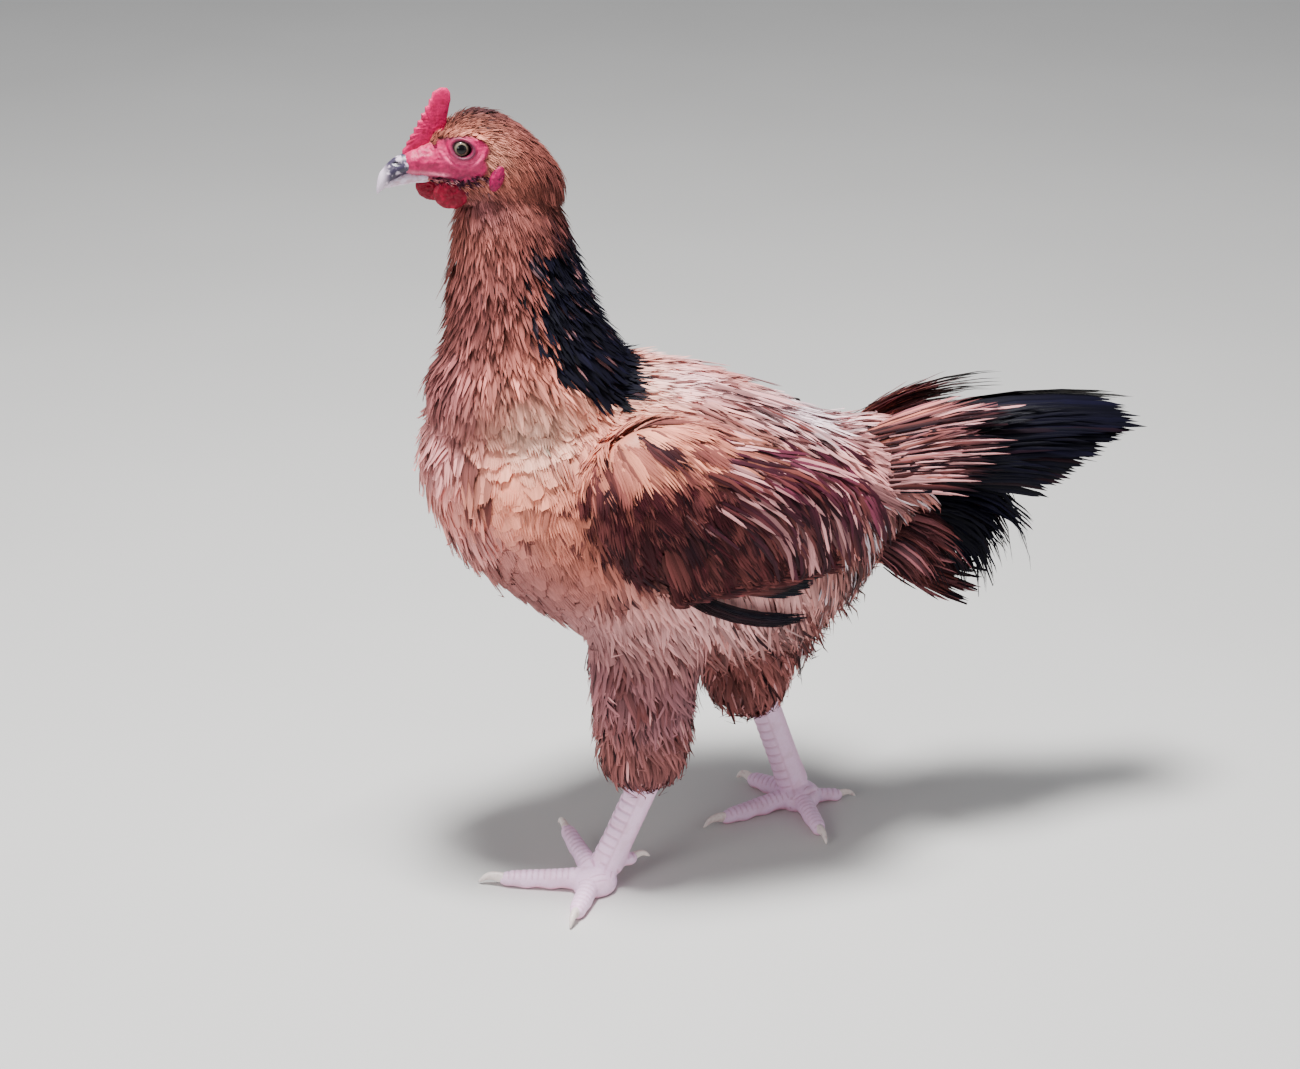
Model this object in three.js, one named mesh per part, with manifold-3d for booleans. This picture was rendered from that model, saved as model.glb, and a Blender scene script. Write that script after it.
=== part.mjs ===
// A standing hen, life size, built from closed solids that meet face to face.
// Millimetres, +Z up. The bird faces -X, its left side is -Y, and its soles rest on z = 0.

import * as THREE from 'three';
import { ParametricGeometry } from 'three/addons/geometries/ParametricGeometry.js';
import { mergeVertices } from 'three/addons/utils/BufferGeometryUtils.js';
import Module from 'manifold-3d';

const wasm = await Module();
wasm.setup();

const vector = (x, y, z) => new THREE.Vector3(x, y, z);

// Driving dimensions

// Clearance between pieces, and the larger offset that leaves it where a surface slopes along its length.
const GAP = 0.3;
const SLOPED_GAP = 0.45;
const LEFT = -1;
const RIGHT = 1;

// Torso sections across the body: x, height of the back, height of the belly, half width.
const TORSO = [
  { at: -129, top: 243, low: 243, half: 0 },
  { at: -121, top: 270, low: 211, half: 33 },
  { at: -106, top: 284, low: 185, half: 46 },
  { at: -80, top: 291, low: 161, half: 57 },
  { at: -45, top: 294, low: 136, half: 64 },
  { at: 0, top: 294, low: 119, half: 66 },
  { at: 40, top: 284, low: 115, half: 65 },
  { at: 75, top: 267, low: 121, half: 60 },
  { at: 105, top: 252, low: 138, half: 48 },
  { at: 127, top: 236, low: 162, half: 30 },
  { at: 137, top: 202, low: 202, half: 0 },
];

// Neck sections, level rings: height, middle, half length and half width.
const NECK = [
  { at: 250, x: -64, long: 0, wide: 0 },
  { at: 262, x: -65, long: 56, wide: 46 },
  { at: 282, x: -65, long: 56.5, wide: 48 },
  { at: 300, x: -65, long: 48, wide: 42 },
  { at: 320, x: -69, long: 41.5, wide: 37 },
  { at: 342, x: -72, long: 38, wide: 32 },
  { at: 362, x: -74, long: 35, wide: 29 },
  { at: 381, x: -76, long: 31, wide: 26 },
  { at: 398, x: -78, long: 22, wide: 19 },
  { at: 404, x: -79, long: 0, wide: 0 },
];

// Hackle: two tiers of pointed feathers round the back and sides of the neck. The lower tier's
// tips lie on the shoulders, on an oval of these half sizes, and drop towards the sides.
const HACKLE = {
  tiers: [
    { count: 11, root: 352, middle: 331, tip: 309, spread: 100, cape: false },
    { count: 13, root: 328, middle: 305, tip: 295, spread: 116, cape: true },
  ],
  oval: { x: -62, long: 59, wide: 59 },
  drop: 31,
  width: 16,
  lift: 1.2,
  over: 1.3,
  sunk: 5,
  point: 0.2,
};

// The head is measured from a point in the middle of the skull and turned a little to its left.
const HEAD_PLACE = vector(-78, 0, 406);
const HEAD_TURN = 8;
const HEAD = [
  { at: -56, top: 3, low: 3, half: 0 },
  { at: -53.5, top: 9.2, low: -2.4, half: 6 },
  { at: -46, top: 12.5, low: -3.4, half: 8.6 },
  { at: -40.5, top: 14.6, low: -8.2, half: 10.4 },
  { at: -29, top: 25, low: -17, half: 15.5 },
  { at: -19, top: 30, low: -22, half: 18.5 },
  { at: -6, top: 28.5, low: -26, half: 21 },
  { at: 6, top: 22, low: -28, half: 21.5 },
  { at: 18, top: 11, low: -29, half: 19 },
  { at: 27, top: -3, low: -27, half: 13 },
  { at: 31, top: -15, low: -15, half: 0 },
];
const EYE = { x: -26, y: 11.6, z: 12.4, radius: 5.2 };
const BROW = { behind: 0.6, sunk: 1.4, size: vector(7.6, 5.6, 6.8) };
const LIDS = { radius: 4.9, thick: 1, long: 1.12, out: 3.2, tilt: -12, turn: -14 };
const BEAK_UPPER = [
  { at: -68, top: -9.4, low: -9.4, half: 0 },
  { at: -66.8, top: -2, low: -10.2, half: 1.7 },
  { at: -64, top: 2.4, low: -8.4, half: 2.8 },
  { at: -60, top: 6.2, low: -5.2, half: 4.1 },
  { at: -55, top: 8.5, low: -2.2, half: 5.3 },
  { at: -47, top: 9.5, low: -1, half: 6.4 },
  { at: -41, top: 4, low: 4, half: 0 },
];
const BEAK_LOWER = [
  { at: -64.6, top: -6.6, low: -6.6, half: 0 },
  { at: -62.6, top: -4.2, low: -8, half: 1.9 },
  { at: -56, top: -1.4, low: -7.4, half: 3.9 },
  { at: -48, top: 0, low: -6.8, half: 5.4 },
  { at: -41, top: 0, low: -6.6, half: 6.2 },
  { at: -37, top: -3, low: -3, half: 0 },
];
const MOUTH_CORNER = { place: vector(-41, 10.5, -1.4), size: vector(9.5, 3.2, 0.8) };
const NOSTRIL = { place: vector(-57.5, 4.4, 5), size: vector(2.2, 1.5, 0.9) };
// The comb's toothed front edge runs from its foot to its peak; its thickness tapers upwards.
const COMB = {
  thick: 4,
  thickAtFoot: 1.1,
  thickAtPeak: 0.5,
  foot: new THREE.Vector2(-54.5, 8),
  peak: new THREE.Vector2(-35.5, 40),
  teeth: 6,
  bite: 1,
  point: 0.6,
};
// The right wattle hangs a little further forward than the left one.
const WATTLE = { x: -31, y: 9, z: -12.2, forward: 4, size: vector(9.5, 2.6, 7.8) };
const EARLOBE = { place: vector(-9.5, 19, -3.5), size: vector(3.6, 2.6, 7) };

// Wing sections across the folded wing: x, middle and half height, middle and half thickness.
const WING = [
  { at: -53, z: 240, tall: 0, y: 60, thick: 0 },
  { at: -44, z: 238, tall: 27, y: 60, thick: 13 },
  { at: -18, z: 233, tall: 47, y: 56, thick: 23 },
  { at: 12, z: 228, tall: 46, y: 54, thick: 26 },
  { at: 45, z: 219, tall: 34, y: 54, thick: 21 },
  { at: 68, z: 212, tall: 20, y: 58, thick: 11 },
  { at: 78, z: 210, tall: 0, y: 60, thick: 0 },
];
// The folded feathers lie on a curved face outside the wing: its reach sideways and how much
// it falls away above and below, with each tier a little deeper or shallower than it.
const WING_FACE = { reach: 80.5, tip: 66, from: 12, to: 117, z: 226, half: 46, fall: 5 };
// Each tier has its lowest feather's root and tip, and the step from there to its highest feather's.
const PRIMARIES = {
  count: 4, width: 12, pitch: 1.1, depth: 7.5, sag: -5, point: 0.35,
  root: { x: -14, z: 203 }, rootStep: { x: 6, z: 6 },
  tip: { x: 66, z: 160 }, tipStep: { x: -3, z: 14 }, bow: 1,
};
const SECONDARIES = {
  count: 7, width: 20, pitch: 1.3, depth: 8.6, sag: 2, point: 0.4,
  root: { x: 8, z: 199 }, rootStep: { x: 22, z: 42 },
  tip: { x: 66, z: 177 }, tipStep: { x: 51, z: 50 }, bow: 0.7,
};
const COVERTS = {
  count: 5, width: 16, pitch: 1.1, depth: 1.5, sunk: 4, raised: 1, point: 0.5,
  root: { x: -8, z: 199 }, rootStep: { x: 6, z: 48 },
  tip: { x: 44, z: 186 }, tipStep: { x: 14, z: 54 }, bow: 1,
};

// Tail core sections: x, upper and lower edge, half width.
const TAIL = [
  { at: 98, top: 226, low: 226, half: 0 },
  { at: 106, top: 249, low: 176, half: 26 },
  { at: 130, top: 250, low: 160, half: 26 },
  { at: 160, top: 245, low: 168, half: 18 },
  { at: 184, top: 210, low: 210, half: 0 },
];
// Tail feathers: root and tip of the first one, the step to the last one, and the middle's push
// away from the straight line between them. y is the distance from the bird's middle plane. The
// lowest feathers of the fan arch over and droop.
const RECTRICES = {
  count: 5, width: 23, narrowing: 4,
  root: vector(128, 9, 238), rootStep: vector(4, 7, -32),
  tip: vector(283, 12, 238), tipStep: vector(-56, 12, -31), bow: vector(1.1, 1, 1.1),
  push: vector(0, 1.5, 8), pushStep: vector(4, 0, 2),
};
const DROOPING = {
  count: 3, width: 19, narrowing: 3,
  root: vector(130, 14, 206), rootStep: vector(4, 4, -16),
  tip: vector(224, 25, 166), tipStep: vector(-36, 3, -18), bow: vector(1, 1, 1),
  push: vector(16, 2, 20), pushStep: vector(-6, 0, -8),
};
const TAIL_COVERTS = {
  count: 4, width: 20, narrowing: 0,
  root: vector(108, 10, 243), rootStep: vector(4, 14, -30),
  tip: vector(206, 16, 255), tipStep: vector(-26, 17, -41), bow: vector(1, 1, 1),
  push: vector(0, 5, 5), pushStep: vector(0, 0, 0),
};
const UNDERTAIL = {
  count: 3, width: 22, narrowing: 0,
  root: vector(118, 8, 178), rootStep: vector(0, 5, 9),
  tip: vector(170, 9, 144), tipStep: vector(12, 8, 9), bow: vector(1, 1, 1),
  push: vector(4, 3, -4), pushStep: vector(0, 0, 0),
};
const RIDGE_FEATHER = {
  root: vector(112, 0, 244), middle: vector(178, 0, 259), tip: vector(262, 0, 249), width: 18,
};
// Slope of the fan's roof, in degrees from upright, at its top and bottom feathers.
const ROOF = { top: 52, bottom: 8 };
const FEATHER = { thick: 0.9, thinTip: 0.5, ridge: 0.025, steps: 3 };

// Legs. A thigh is a stack of level rings, a shank runs from the hock to the pad.
const THIGHS = {
  [LEFT]: [
    { at: 53, x: -12, y: 40, long: 0, wide: 0 },
    { at: 58, x: -13, y: 40, long: 20, wide: 17 },
    { at: 82, x: -13, y: 41, long: 28, wide: 23 },
    { at: 112, x: -14, y: 41, long: 30.5, wide: 25 },
    { at: 146, x: -9, y: 38, long: 38, wide: 25 },
    { at: 172, x: -2, y: 34, long: 42, wide: 24 },
    { at: 190, x: 0, y: 28, long: 0, wide: 0 },
  ],
  [RIGHT]: [
    { at: 56, x: 65, y: 30, long: 0, wide: 0 },
    { at: 62, x: 64, y: 30, long: 20, wide: 17 },
    { at: 80, x: 65, y: 34, long: 29, wide: 23 },
    { at: 103, x: 66, y: 37, long: 39, wide: 25 },
    { at: 135, x: 53, y: 38, long: 52, wide: 25 },
    { at: 164, x: 38, y: 34, long: 52, wide: 24 },
    { at: 186, x: 30, y: 28, long: 0, wide: 0 },
  ],
};
// The soles lie a little below the level that the body's heights are measured from.
const FLOOR = -3.7;
const SHANK = { radius: 8.8, flat: 0.76, scutes: 10, raised: 0.6, hockKnob: 0.3, footKnob: 0.22 };
const PAD = { radius: 13, tall: 9, z: 4.8 };
const FEET = {
  [LEFT]: { hock: vector(1, 35, 82), ankle: vector(-37.5, 40.5, 2), pad: vector(-42, 43, 0), heading: -18 },
  [RIGHT]: { hock: vector(67, 37, 88), ankle: vector(95.5, 30.5, 2), pad: vector(96, 29, 0), heading: 17 },
};
// Toes: angle outwards from the foot's heading, height that the toe's base and tip are lifted by,
// length of the fleshy toe, claw length and base radius.
const DOWN = { base: 0, tip: 0 };
const TOES = {
  inner: {
    angle: { [LEFT]: -62, [RIGHT]: -75 },
    lift: { [LEFT]: { base: 3, tip: 14 }, [RIGHT]: DOWN },
    length: 44,
    claw: 10,
    radius: 5.8,
  },
  middle: {
    angle: { [LEFT]: 0, [RIGHT]: 0 },
    lift: { [LEFT]: DOWN, [RIGHT]: DOWN },
    length: 54,
    claw: 11,
    radius: 6.1,
  },
  outer: {
    angle: { [LEFT]: 80, [RIGHT]: 71 },
    lift: { [LEFT]: DOWN, [RIGHT]: DOWN },
    length: 38,
    claw: 9,
    radius: 6.1,
  },
  hind: {
    angle: { [LEFT]: -148, [RIGHT]: -162 },
    lift: { [LEFT]: { base: 8, tip: 11 }, [RIGHT]: DOWN },
    length: 27,
    claw: 8,
    radius: 4.8,
  },
};
const TOE_SUNK = 0.72;
const SCUTE_LENGTH = 8.5;
const SCUTE_RAISED = 0.5;
const CLAW_TIP = 0.9;
const CLAW_CLEAR = 0.2;

// Materials

const finish = (color, roughness) => new THREE.MeshStandardMaterial({ color, roughness, metalness: 0 });
const buff = finish('#b9744a', 0.8);
const brown = finish('#6d3a24', 0.8);
const black = finish('#14141c', 0.55);
const red = finish('#d5405f', 0.5);
const horn = finish('#5a5566', 0.4);
const skinPink = finish('#e3a9a8', 0.55);
const eyeGlass = finish('#3a2c1c', 0.1);
const clawHorn = finish('#d9c8c0', 0.4);

// Solids

/** A three.js geometry as a solid: shared corners merged, flat triangles dropped, faces outwards. */
function solid(geometry) {
  geometry.deleteAttribute('normal');
  geometry.deleteAttribute('uv');
  const merged = mergeVertices(geometry, 1e-4);
  const corners = merged.index.array;
  const place = merged.attributes.position;
  const [a, b, c] = [new THREE.Vector3(), new THREE.Vector3(), new THREE.Vector3()];
  const triangles = [];
  let volume = 0;
  for (let i = 0; i < corners.length; i += 3) {
    const [p, q, r] = [corners[i], corners[i + 1], corners[i + 2]];
    if (p === q || q === r || r === p) continue;
    triangles.push(p, q, r);
    volume += a.fromBufferAttribute(place, p)
      .dot(b.fromBufferAttribute(place, q).cross(c.fromBufferAttribute(place, r)));
  }
  if (volume < 0) triangles.reverse();
  return new wasm.Manifold(new wasm.Mesh({
    numProp: 3,
    vertProperties: new Float32Array(place.array),
    triVerts: new Uint32Array(triangles),
  }));
}

/** Only the largest closed body, so that scraps left by a cut are dropped. */
function largest(body) {
  return body.decompose().reduce((a, b) => (a.volume() > b.volume() ? a : b));
}

function cut(body, ...tools) {
  return largest(tools.reduce((rest, tool) => rest.subtract(tool), body));
}

/** Smooth values between stations. Sizes that vanish at an end close there as a round cap. */
function between(stations, roundKeys, plainKeys) {
  const keys = [...roundKeys, ...plainKeys];
  const places = stations.map((station) => station.at);
  const values = stations.flatMap((s) => keys.map((key) => (roundKeys.includes(key) ? s[key] ** 2 : s[key])));
  const curve = new THREE.CubicInterpolant(places, values, keys.length);
  return (t) => {
    const at = THREE.MathUtils.lerp(places[0], places.at(-1), t);
    const result = curve.evaluate(at);
    const ring = { at };
    keys.forEach((key, i) => {
      ring[key] = roundKeys.includes(key) ? Math.sqrt(Math.max(result[i], 0)) : result[i];
    });
    return ring;
  };
}

/** Packs the rings closer together near both ends. */
const eased = (v) => (1 - Math.cos(Math.PI * v)) / 2;

/** Growth of a ring's radii; the end points stay points. */
const swell = (grow, t) => (t > 0 && t < 1 ? grow : 0);

/** A closed skin over rings; ring(t) returns a function from angle to point. */
function skin(ring, slices, stacks) {
  const surface = (u, v, target) => ring(v)(u * 2 * Math.PI, target);
  return new ParametricGeometry(surface, slices, stacks);
}

/** Upright sections along x: a back, a belly and a half width. */
function alongBody(stations, slices, stacks, grow = 0) {
  const sized = stations.map(({ at, top, low, half }) => (
    { at, half, tall: (top - low) / 2, z: (top + low) / 2 }
  ));
  const section = between(sized, ['half', 'tall'], ['z']);
  return skin((v) => {
    const t = eased(v);
    const ring = section(t);
    const spread = swell(grow, t);
    const x = ring.at + grow * (2 * t - 1);
    return (angle, target) => target.set(
      x,
      Math.sin(angle) * (ring.half + spread),
      ring.z + Math.cos(angle) * (ring.tall + spread),
    );
  }, slices, stacks);
}

/** Level rings stacked up z. */
function upBody(stations, side, slices, stacks, grow = 0) {
  const at = between(stations.map((s) => ({ y: 0, ...s })), ['long', 'wide'], ['x', 'y']);
  return skin((v) => {
    const t = eased(v);
    const ring = at(t);
    const spread = swell(grow, t);
    const z = ring.at + grow * (2 * t - 1);
    return (angle, target) => target.set(
      ring.x + Math.cos(angle) * (ring.long + spread),
      side * ring.y + Math.sin(angle) * (ring.wide + spread),
      z,
    );
  }, slices, stacks);
}

/** The folded wing: upright lens sections along x. */
function wingBody(side, slices, stacks, grow = 0) {
  const at = between(WING, ['tall', 'thick'], ['z', 'y']);
  return skin((v) => {
    const t = eased(v);
    const ring = at(t);
    const spread = swell(grow, t);
    const x = ring.at + grow * (2 * t - 1);
    return (angle, target) => target.set(
      x,
      side * ring.y + Math.sin(angle) * (ring.thick + spread),
      ring.z + Math.cos(angle) * (ring.tall + spread),
    );
  }, slices, stacks);
}

/** A tube of changing radius along a curve, closed by a point at each end. Angle 0 looks to the front. */
function limb({ curve, front, radius, flat, slices, stacks, grow = 0 }) {
  const centre = new THREE.Vector3();
  return skin((v) => {
    const along = curve.getTangentAt(v);
    const across = new THREE.Vector3().crossVectors(along, front).normalize();
    const rise = new THREE.Vector3().crossVectors(across, along);
    curve.getPointAt(v, centre).addScaledVector(along, grow * (2 * v - 1));
    return (angle, target) => {
      const r = radius(v, angle) + swell(grow, v);
      target.copy(centre)
        .addScaledVector(rise, Math.cos(angle) * r)
        .addScaledVector(across, Math.sin(angle) * r * flat);
    };
  }, slices, stacks);
}

const ball = (place, radii, slices = 10, stacks = 6) => {
  const geometry = new THREE.SphereGeometry(1, slices, stacks);
  geometry.scale(radii.x, radii.y, radii.z);
  geometry.translate(place.x, place.y, place.z);
  return geometry;
};

const headMatrix = new THREE.Matrix4()
  .makeRotationZ(THREE.MathUtils.degToRad(HEAD_TURN))
  .setPosition(HEAD_PLACE);
const onHead = (geometry) => solid(geometry.applyMatrix4(headMatrix));

// Feathers

/**
 * A feather as a thin closed blade through root, middle and tip. It is widest past its middle, its
 * shaft line stands up as a low ridge, and both faces are split into triangles alike.
 */
function feather({ root, middle, tip, across, width, point = 0.3, steps = FEATHER.steps }) {
  const curve = new THREE.CatmullRomCurve3([root, middle, tip]);
  const place = [];
  for (let i = 0; i <= steps; i += 1) {
    const t = i / steps;
    const at = curve.getPoint(t);
    const along = curve.getTangent(t);
    const side = across.clone().addScaledVector(along, -across.dot(along)).normalize();
    const out = new THREE.Vector3().crossVectors(along, side);
    const full = 0.5 + 0.5 * THREE.MathUtils.smoothstep(t, 0, 0.45);
    const half = (width / 2) * full * (1 - (1 - point) * THREE.MathUtils.smoothstep(t, 0.6, 1));
    const thick = THREE.MathUtils.lerp(FEATHER.thick, FEATHER.thinTip, t) / 2;
    const ridge = width * FEATHER.ridge;
    const corner = (sideways, outwards) => place.push(
      ...at.clone().addScaledVector(side, sideways).addScaledVector(out, outwards).toArray(),
    );
    corner(-half, thick);
    corner(0, thick + ridge);
    corner(half, thick);
    corner(half, -thick);
    corner(0, ridge - thick);
    corner(-half, -thick);
  }
  const id = (i, k) => i * 6 + (k % 6);
  const faces = [];
  for (let i = 0; i < steps; i += 1) {
    for (let k = 0; k < 3; k += 1) {
      faces.push(id(i, k), id(i, k + 1), id(i + 1, k + 1), id(i, k), id(i + 1, k + 1), id(i + 1, k));
    }
    for (let k = 3; k < 6; k += 1) {
      faces.push(id(i, k), id(i, k + 1), id(i + 1, k), id(i, k + 1), id(i + 1, k + 1), id(i + 1, k));
    }
  }
  faces.push(1, 0, 5, 1, 5, 4, 2, 1, 4, 2, 4, 3);
  const end = steps * 6;
  faces.push(...[5, 0, 1, 4, 5, 1, 4, 1, 2, 3, 4, 2].map((corner) => end + corner));
  const geometry = new THREE.BufferGeometry();
  geometry.setAttribute('position', new THREE.Float32BufferAttribute(place, 3));
  geometry.setIndex(faces);
  return solid(geometry);
}

const join = (bodies) => largest(wasm.Manifold.union(bodies));
const range = (count) => Array.from({ length: count }, (_, k) => k);
const mirrored = (place, side) => vector(place.x, side * place.y, place.z);
const wingAcross = (side) => vector(0, side * 0.15, 1);

/** A point on the face that the folded wing feathers lie on, sunk by a depth. */
function onWing(side, x, z, depth) {
  const { reach, tip, from, to, half, fall } = WING_FACE;
  const back = THREE.MathUtils.clamp((x - from) / (to - from), 0, 1);
  const y = reach - (reach - tip) * back ** 1.2 - fall * ((z - WING_FACE.z) / half) ** 2;
  return vector(x, side * (y - depth), z);
}

/** Root and tip of one feather of a wing tier, from its lowest feather at 0 to its highest at 1. */
function tierEnds(tier, t) {
  return {
    from: { x: tier.root.x + tier.rootStep.x * t, z: tier.root.z + tier.rootStep.z * t },
    to: { x: tier.tip.x + tier.tipStep.x * t ** tier.bow, z: tier.tip.z + tier.tipStep.z * t },
  };
}

/** A tier of flight feathers, each lying over the one below it. */
function flightTier(side, tier) {
  return range(tier.count).map((k) => {
    const { from, to } = tierEnds(tier, k / (tier.count - 1));
    const depth = tier.depth - tier.pitch * k;
    return feather({
      root: onWing(side, from.x, from.z, depth),
      middle: onWing(side, (from.x + to.x) / 2, (from.z + to.z) / 2 + tier.sag, depth),
      tip: onWing(side, to.x, to.z, depth),
      across: wingAcross(side),
      width: tier.width,
      point: tier.point,
    });
  });
}

/** The coverts over the flight feathers' roots, alternately a little higher and lower. */
function covertTier(side) {
  return range(COVERTS.count).map((k) => {
    const { from, to } = tierEnds(COVERTS, k / (COVERTS.count - 1));
    const depth = COVERTS.depth - COVERTS.pitch * (k % 2);
    return feather({
      root: onWing(side, from.x, from.z, depth + COVERTS.sunk),
      middle: onWing(side, (from.x + to.x) / 2, (from.z + to.z) / 2, depth),
      tip: onWing(side, to.x, to.z, depth - COVERTS.raised),
      across: wingAcross(side),
      width: COVERTS.width,
      point: COVERTS.point,
    });
  });
}

const wingFeathers = (side) => [
  ...flightTier(side, PRIMARIES),
  ...flightTier(side, SECONDARIES),
  ...covertTier(side),
];

/** The direction across a tail feather: the fan's roof is steeper at its top. */
function roof(side, t) {
  const tilt = THREE.MathUtils.degToRad(THREE.MathUtils.lerp(ROOF.top, ROOF.bottom, t));
  return vector(0, side * Math.sin(tilt), -Math.cos(tilt));
}

/** One side of a tail tier, from its top feather down. */
function tailTier(side, tier, across, steps) {
  return range(tier.count).map((k) => {
    const t = k / (tier.count - 1);
    const root = tier.root.clone().addScaledVector(tier.rootStep, t);
    const bowed = vector(t ** tier.bow.x, t ** tier.bow.y, t ** tier.bow.z);
    const tip = tier.tip.clone().add(tier.tipStep.clone().multiply(bowed));
    const push = tier.push.clone().addScaledVector(tier.pushStep, t);
    const middle = root.clone().lerp(tip, 0.5).add(push);
    return feather({
      root: mirrored(root, side),
      middle: mirrored(middle, side),
      tip: mirrored(tip, side),
      across: across(side, t),
      width: tier.width - tier.narrowing * t,
      point: 0.33,
      steps,
    });
  });
}

const level = (side) => vector(0, side * 0.8, -0.9);
const tailFeathers = (side) => [
  ...tailTier(side, RECTRICES, roof, FEATHER.steps + 1),
  ...tailTier(side, DROOPING, roof, FEATHER.steps + 1),
  ...tailTier(side, TAIL_COVERTS, roof, FEATHER.steps),
  ...tailTier(side, UNDERTAIL, level, FEATHER.steps),
];

/** One feather lies along the middle of the fan and closes its ridge. */
const ridgeFeather = () => feather({ ...RIDGE_FEATHER, across: vector(0, 1, 0), point: 0.35 });

/** A point on the neck at a height and a bearing from straight behind, raised by a lift. */
const neckRing = between(NECK, ['long', 'wide'], ['x']);
function onNeck(bearing, z, lift) {
  const ring = neckRing((z - NECK[0].at) / (NECK.at(-1).at - NECK[0].at));
  return vector(ring.x + Math.cos(bearing) * (ring.long + lift), Math.sin(bearing) * (ring.wide + lift), z);
}

/** A point on the shoulders' oval, lower towards the sides. */
function onCape(bearing, z) {
  const { oval, drop } = HACKLE;
  const fall = drop * Math.sin(bearing) ** 2;
  return vector(oval.x + Math.cos(bearing) * oval.long, Math.sin(bearing) * oval.wide, z - fall);
}

function hackleFeather(tier, k) {
  const bearing = THREE.MathUtils.degToRad(tier.spread * (2 * k / (tier.count - 1) - 1));
  const lift = HACKLE.lift + HACKLE.over * (k % 2);
  return feather({
    root: onNeck(bearing, tier.root, lift - HACKLE.sunk),
    middle: onNeck(bearing, tier.middle, lift),
    tip: tier.cape ? onCape(bearing, tier.tip + lift) : onNeck(bearing, tier.tip, lift * 2),
    across: vector(-Math.sin(bearing), Math.cos(bearing), 0),
    width: HACKLE.width,
    point: HACKLE.point,
  });
}

const hackle = () => HACKLE.tiers.flatMap((tier) => range(tier.count).map((k) => hackleFeather(tier, k)));

// Head

function eye(side, grow = 0) {
  const radius = EYE.radius + grow;
  return onHead(ball(vector(EYE.x, side * EYE.y, EYE.z), vector(radius, radius, radius), 12, 8));
}

/** A swelling round each eye that carries the lids. */
function brow(side, grow) {
  const place = vector(EYE.x + BROW.behind, side * (EYE.y - BROW.sunk), EYE.z);
  return onHead(ball(place, BROW.size.clone().addScalar(grow)));
}

function lids(side) {
  const rim = new THREE.TorusGeometry(LIDS.radius, LIDS.thick, 5, 12);
  rim.scale(LIDS.long, 1, 1);
  rim.rotateX(Math.PI / 2);
  rim.rotateY(THREE.MathUtils.degToRad(LIDS.tilt));
  rim.rotateZ(side * THREE.MathUtils.degToRad(LIDS.turn));
  rim.translate(EYE.x, side * (EYE.y + LIDS.out), EYE.z);
  return onHead(rim);
}

/** The line of the mouth, pressed into each cheek as far as the corner of the gape. */
const mouthLine = (side) => onHead(ball(mirrored(MOUTH_CORNER.place, side), MOUTH_CORNER.size));

const nostril = (side) => onHead(ball(mirrored(NOSTRIL.place, side), NOSTRIL.size, 8, 6));

function skull(grow = 0) {
  return onHead(alongBody(HEAD, 16, 12, grow)).add(brow(LEFT, grow)).add(brow(RIGHT, grow));
}

function head() {
  const whole = skull().add(lids(LEFT)).add(lids(RIGHT));
  return cut(whole, eye(LEFT, GAP), eye(RIGHT, GAP), mouthLine(LEFT), mouthLine(RIGHT));
}

/** The single comb: a blade along the forehead that leans back, toothed down its front. */
function comb() {
  const outline = new THREE.Shape();
  outline.moveTo(-36, 4);
  outline.lineTo(-52, 5);
  for (let i = 0; i < COMB.teeth; i += 1) {
    const valley = COMB.foot.clone().lerp(COMB.peak, i / COMB.teeth);
    const point = COMB.foot.clone().lerp(COMB.peak, (i + 0.7) / COMB.teeth);
    outline.lineTo(valley.x + COMB.bite, valley.y);
    outline.lineTo(point.x - COMB.point, point.y + COMB.point);
  }
  outline.lineTo(-32.5, 41.5);
  outline.quadraticCurveTo(-27, 41.5, -27.3, 35);
  outline.lineTo(-30, 22);
  outline.lineTo(-30, 16);
  outline.closePath();
  const flat = { depth: COMB.thick, bevelEnabled: false, curveSegments: 4 };
  const blade = new THREE.ExtrudeGeometry(outline, flat);
  blade.translate(0, 0, -COMB.thick / 2);
  blade.rotateX(Math.PI / 2);
  const place = blade.attributes.position;
  for (let i = 0; i < place.count; i += 1) {
    const up = THREE.MathUtils.inverseLerp(COMB.foot.y, COMB.peak.y, place.getZ(i));
    const taper = THREE.MathUtils.lerp(COMB.thickAtFoot, COMB.thickAtPeak, up);
    place.setY(i, place.getY(i) * taper);
  }
  return onHead(blade);
}

function wattle(side) {
  const x = side === RIGHT ? WATTLE.x - WATTLE.forward : WATTLE.x;
  return onHead(ball(vector(x, side * WATTLE.y, WATTLE.z), WATTLE.size));
}

const earlobe = (side) => onHead(ball(mirrored(EARLOBE.place, side), EARLOBE.size));

// Legs

const thigh = (side, grow = 0) => solid(upBody(THIGHS[side], side, 16, 10, grow));

/** One raised edge for each scute, highest at its lower end, on the front of a leg or toe. */
const scute = (v, angle, count, height) => (
  height * Math.max(0, Math.cos(angle)) * (1 - ((v * count) % 1))
);

function shank(side, grow = 0) {
  const { hock, ankle } = FEET[side];
  const radius = (v, angle) => {
    const cap = Math.min(1, Math.sin(Math.PI * v) * 5);
    const hockKnob = SHANK.hockKnob * THREE.MathUtils.smoothstep(v, 0.75, 1);
    const footKnob = SHANK.footKnob * THREE.MathUtils.smoothstep(1 - v, 0.7, 1);
    const round = SHANK.radius * (1 + hockKnob + footKnob);
    return cap * (round + scute(v, angle, SHANK.scutes, SHANK.raised));
  };
  return solid(limb({
    curve: new THREE.LineCurve3(mirrored(ankle, side), mirrored(hock, side)),
    front: vector(-1, 0, 0),
    radius,
    flat: SHANK.flat,
    slices: 10,
    stacks: SHANK.scutes * 2,
    grow,
  })).trimByPlane([0, 0, 1], FLOOR);
}

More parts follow.
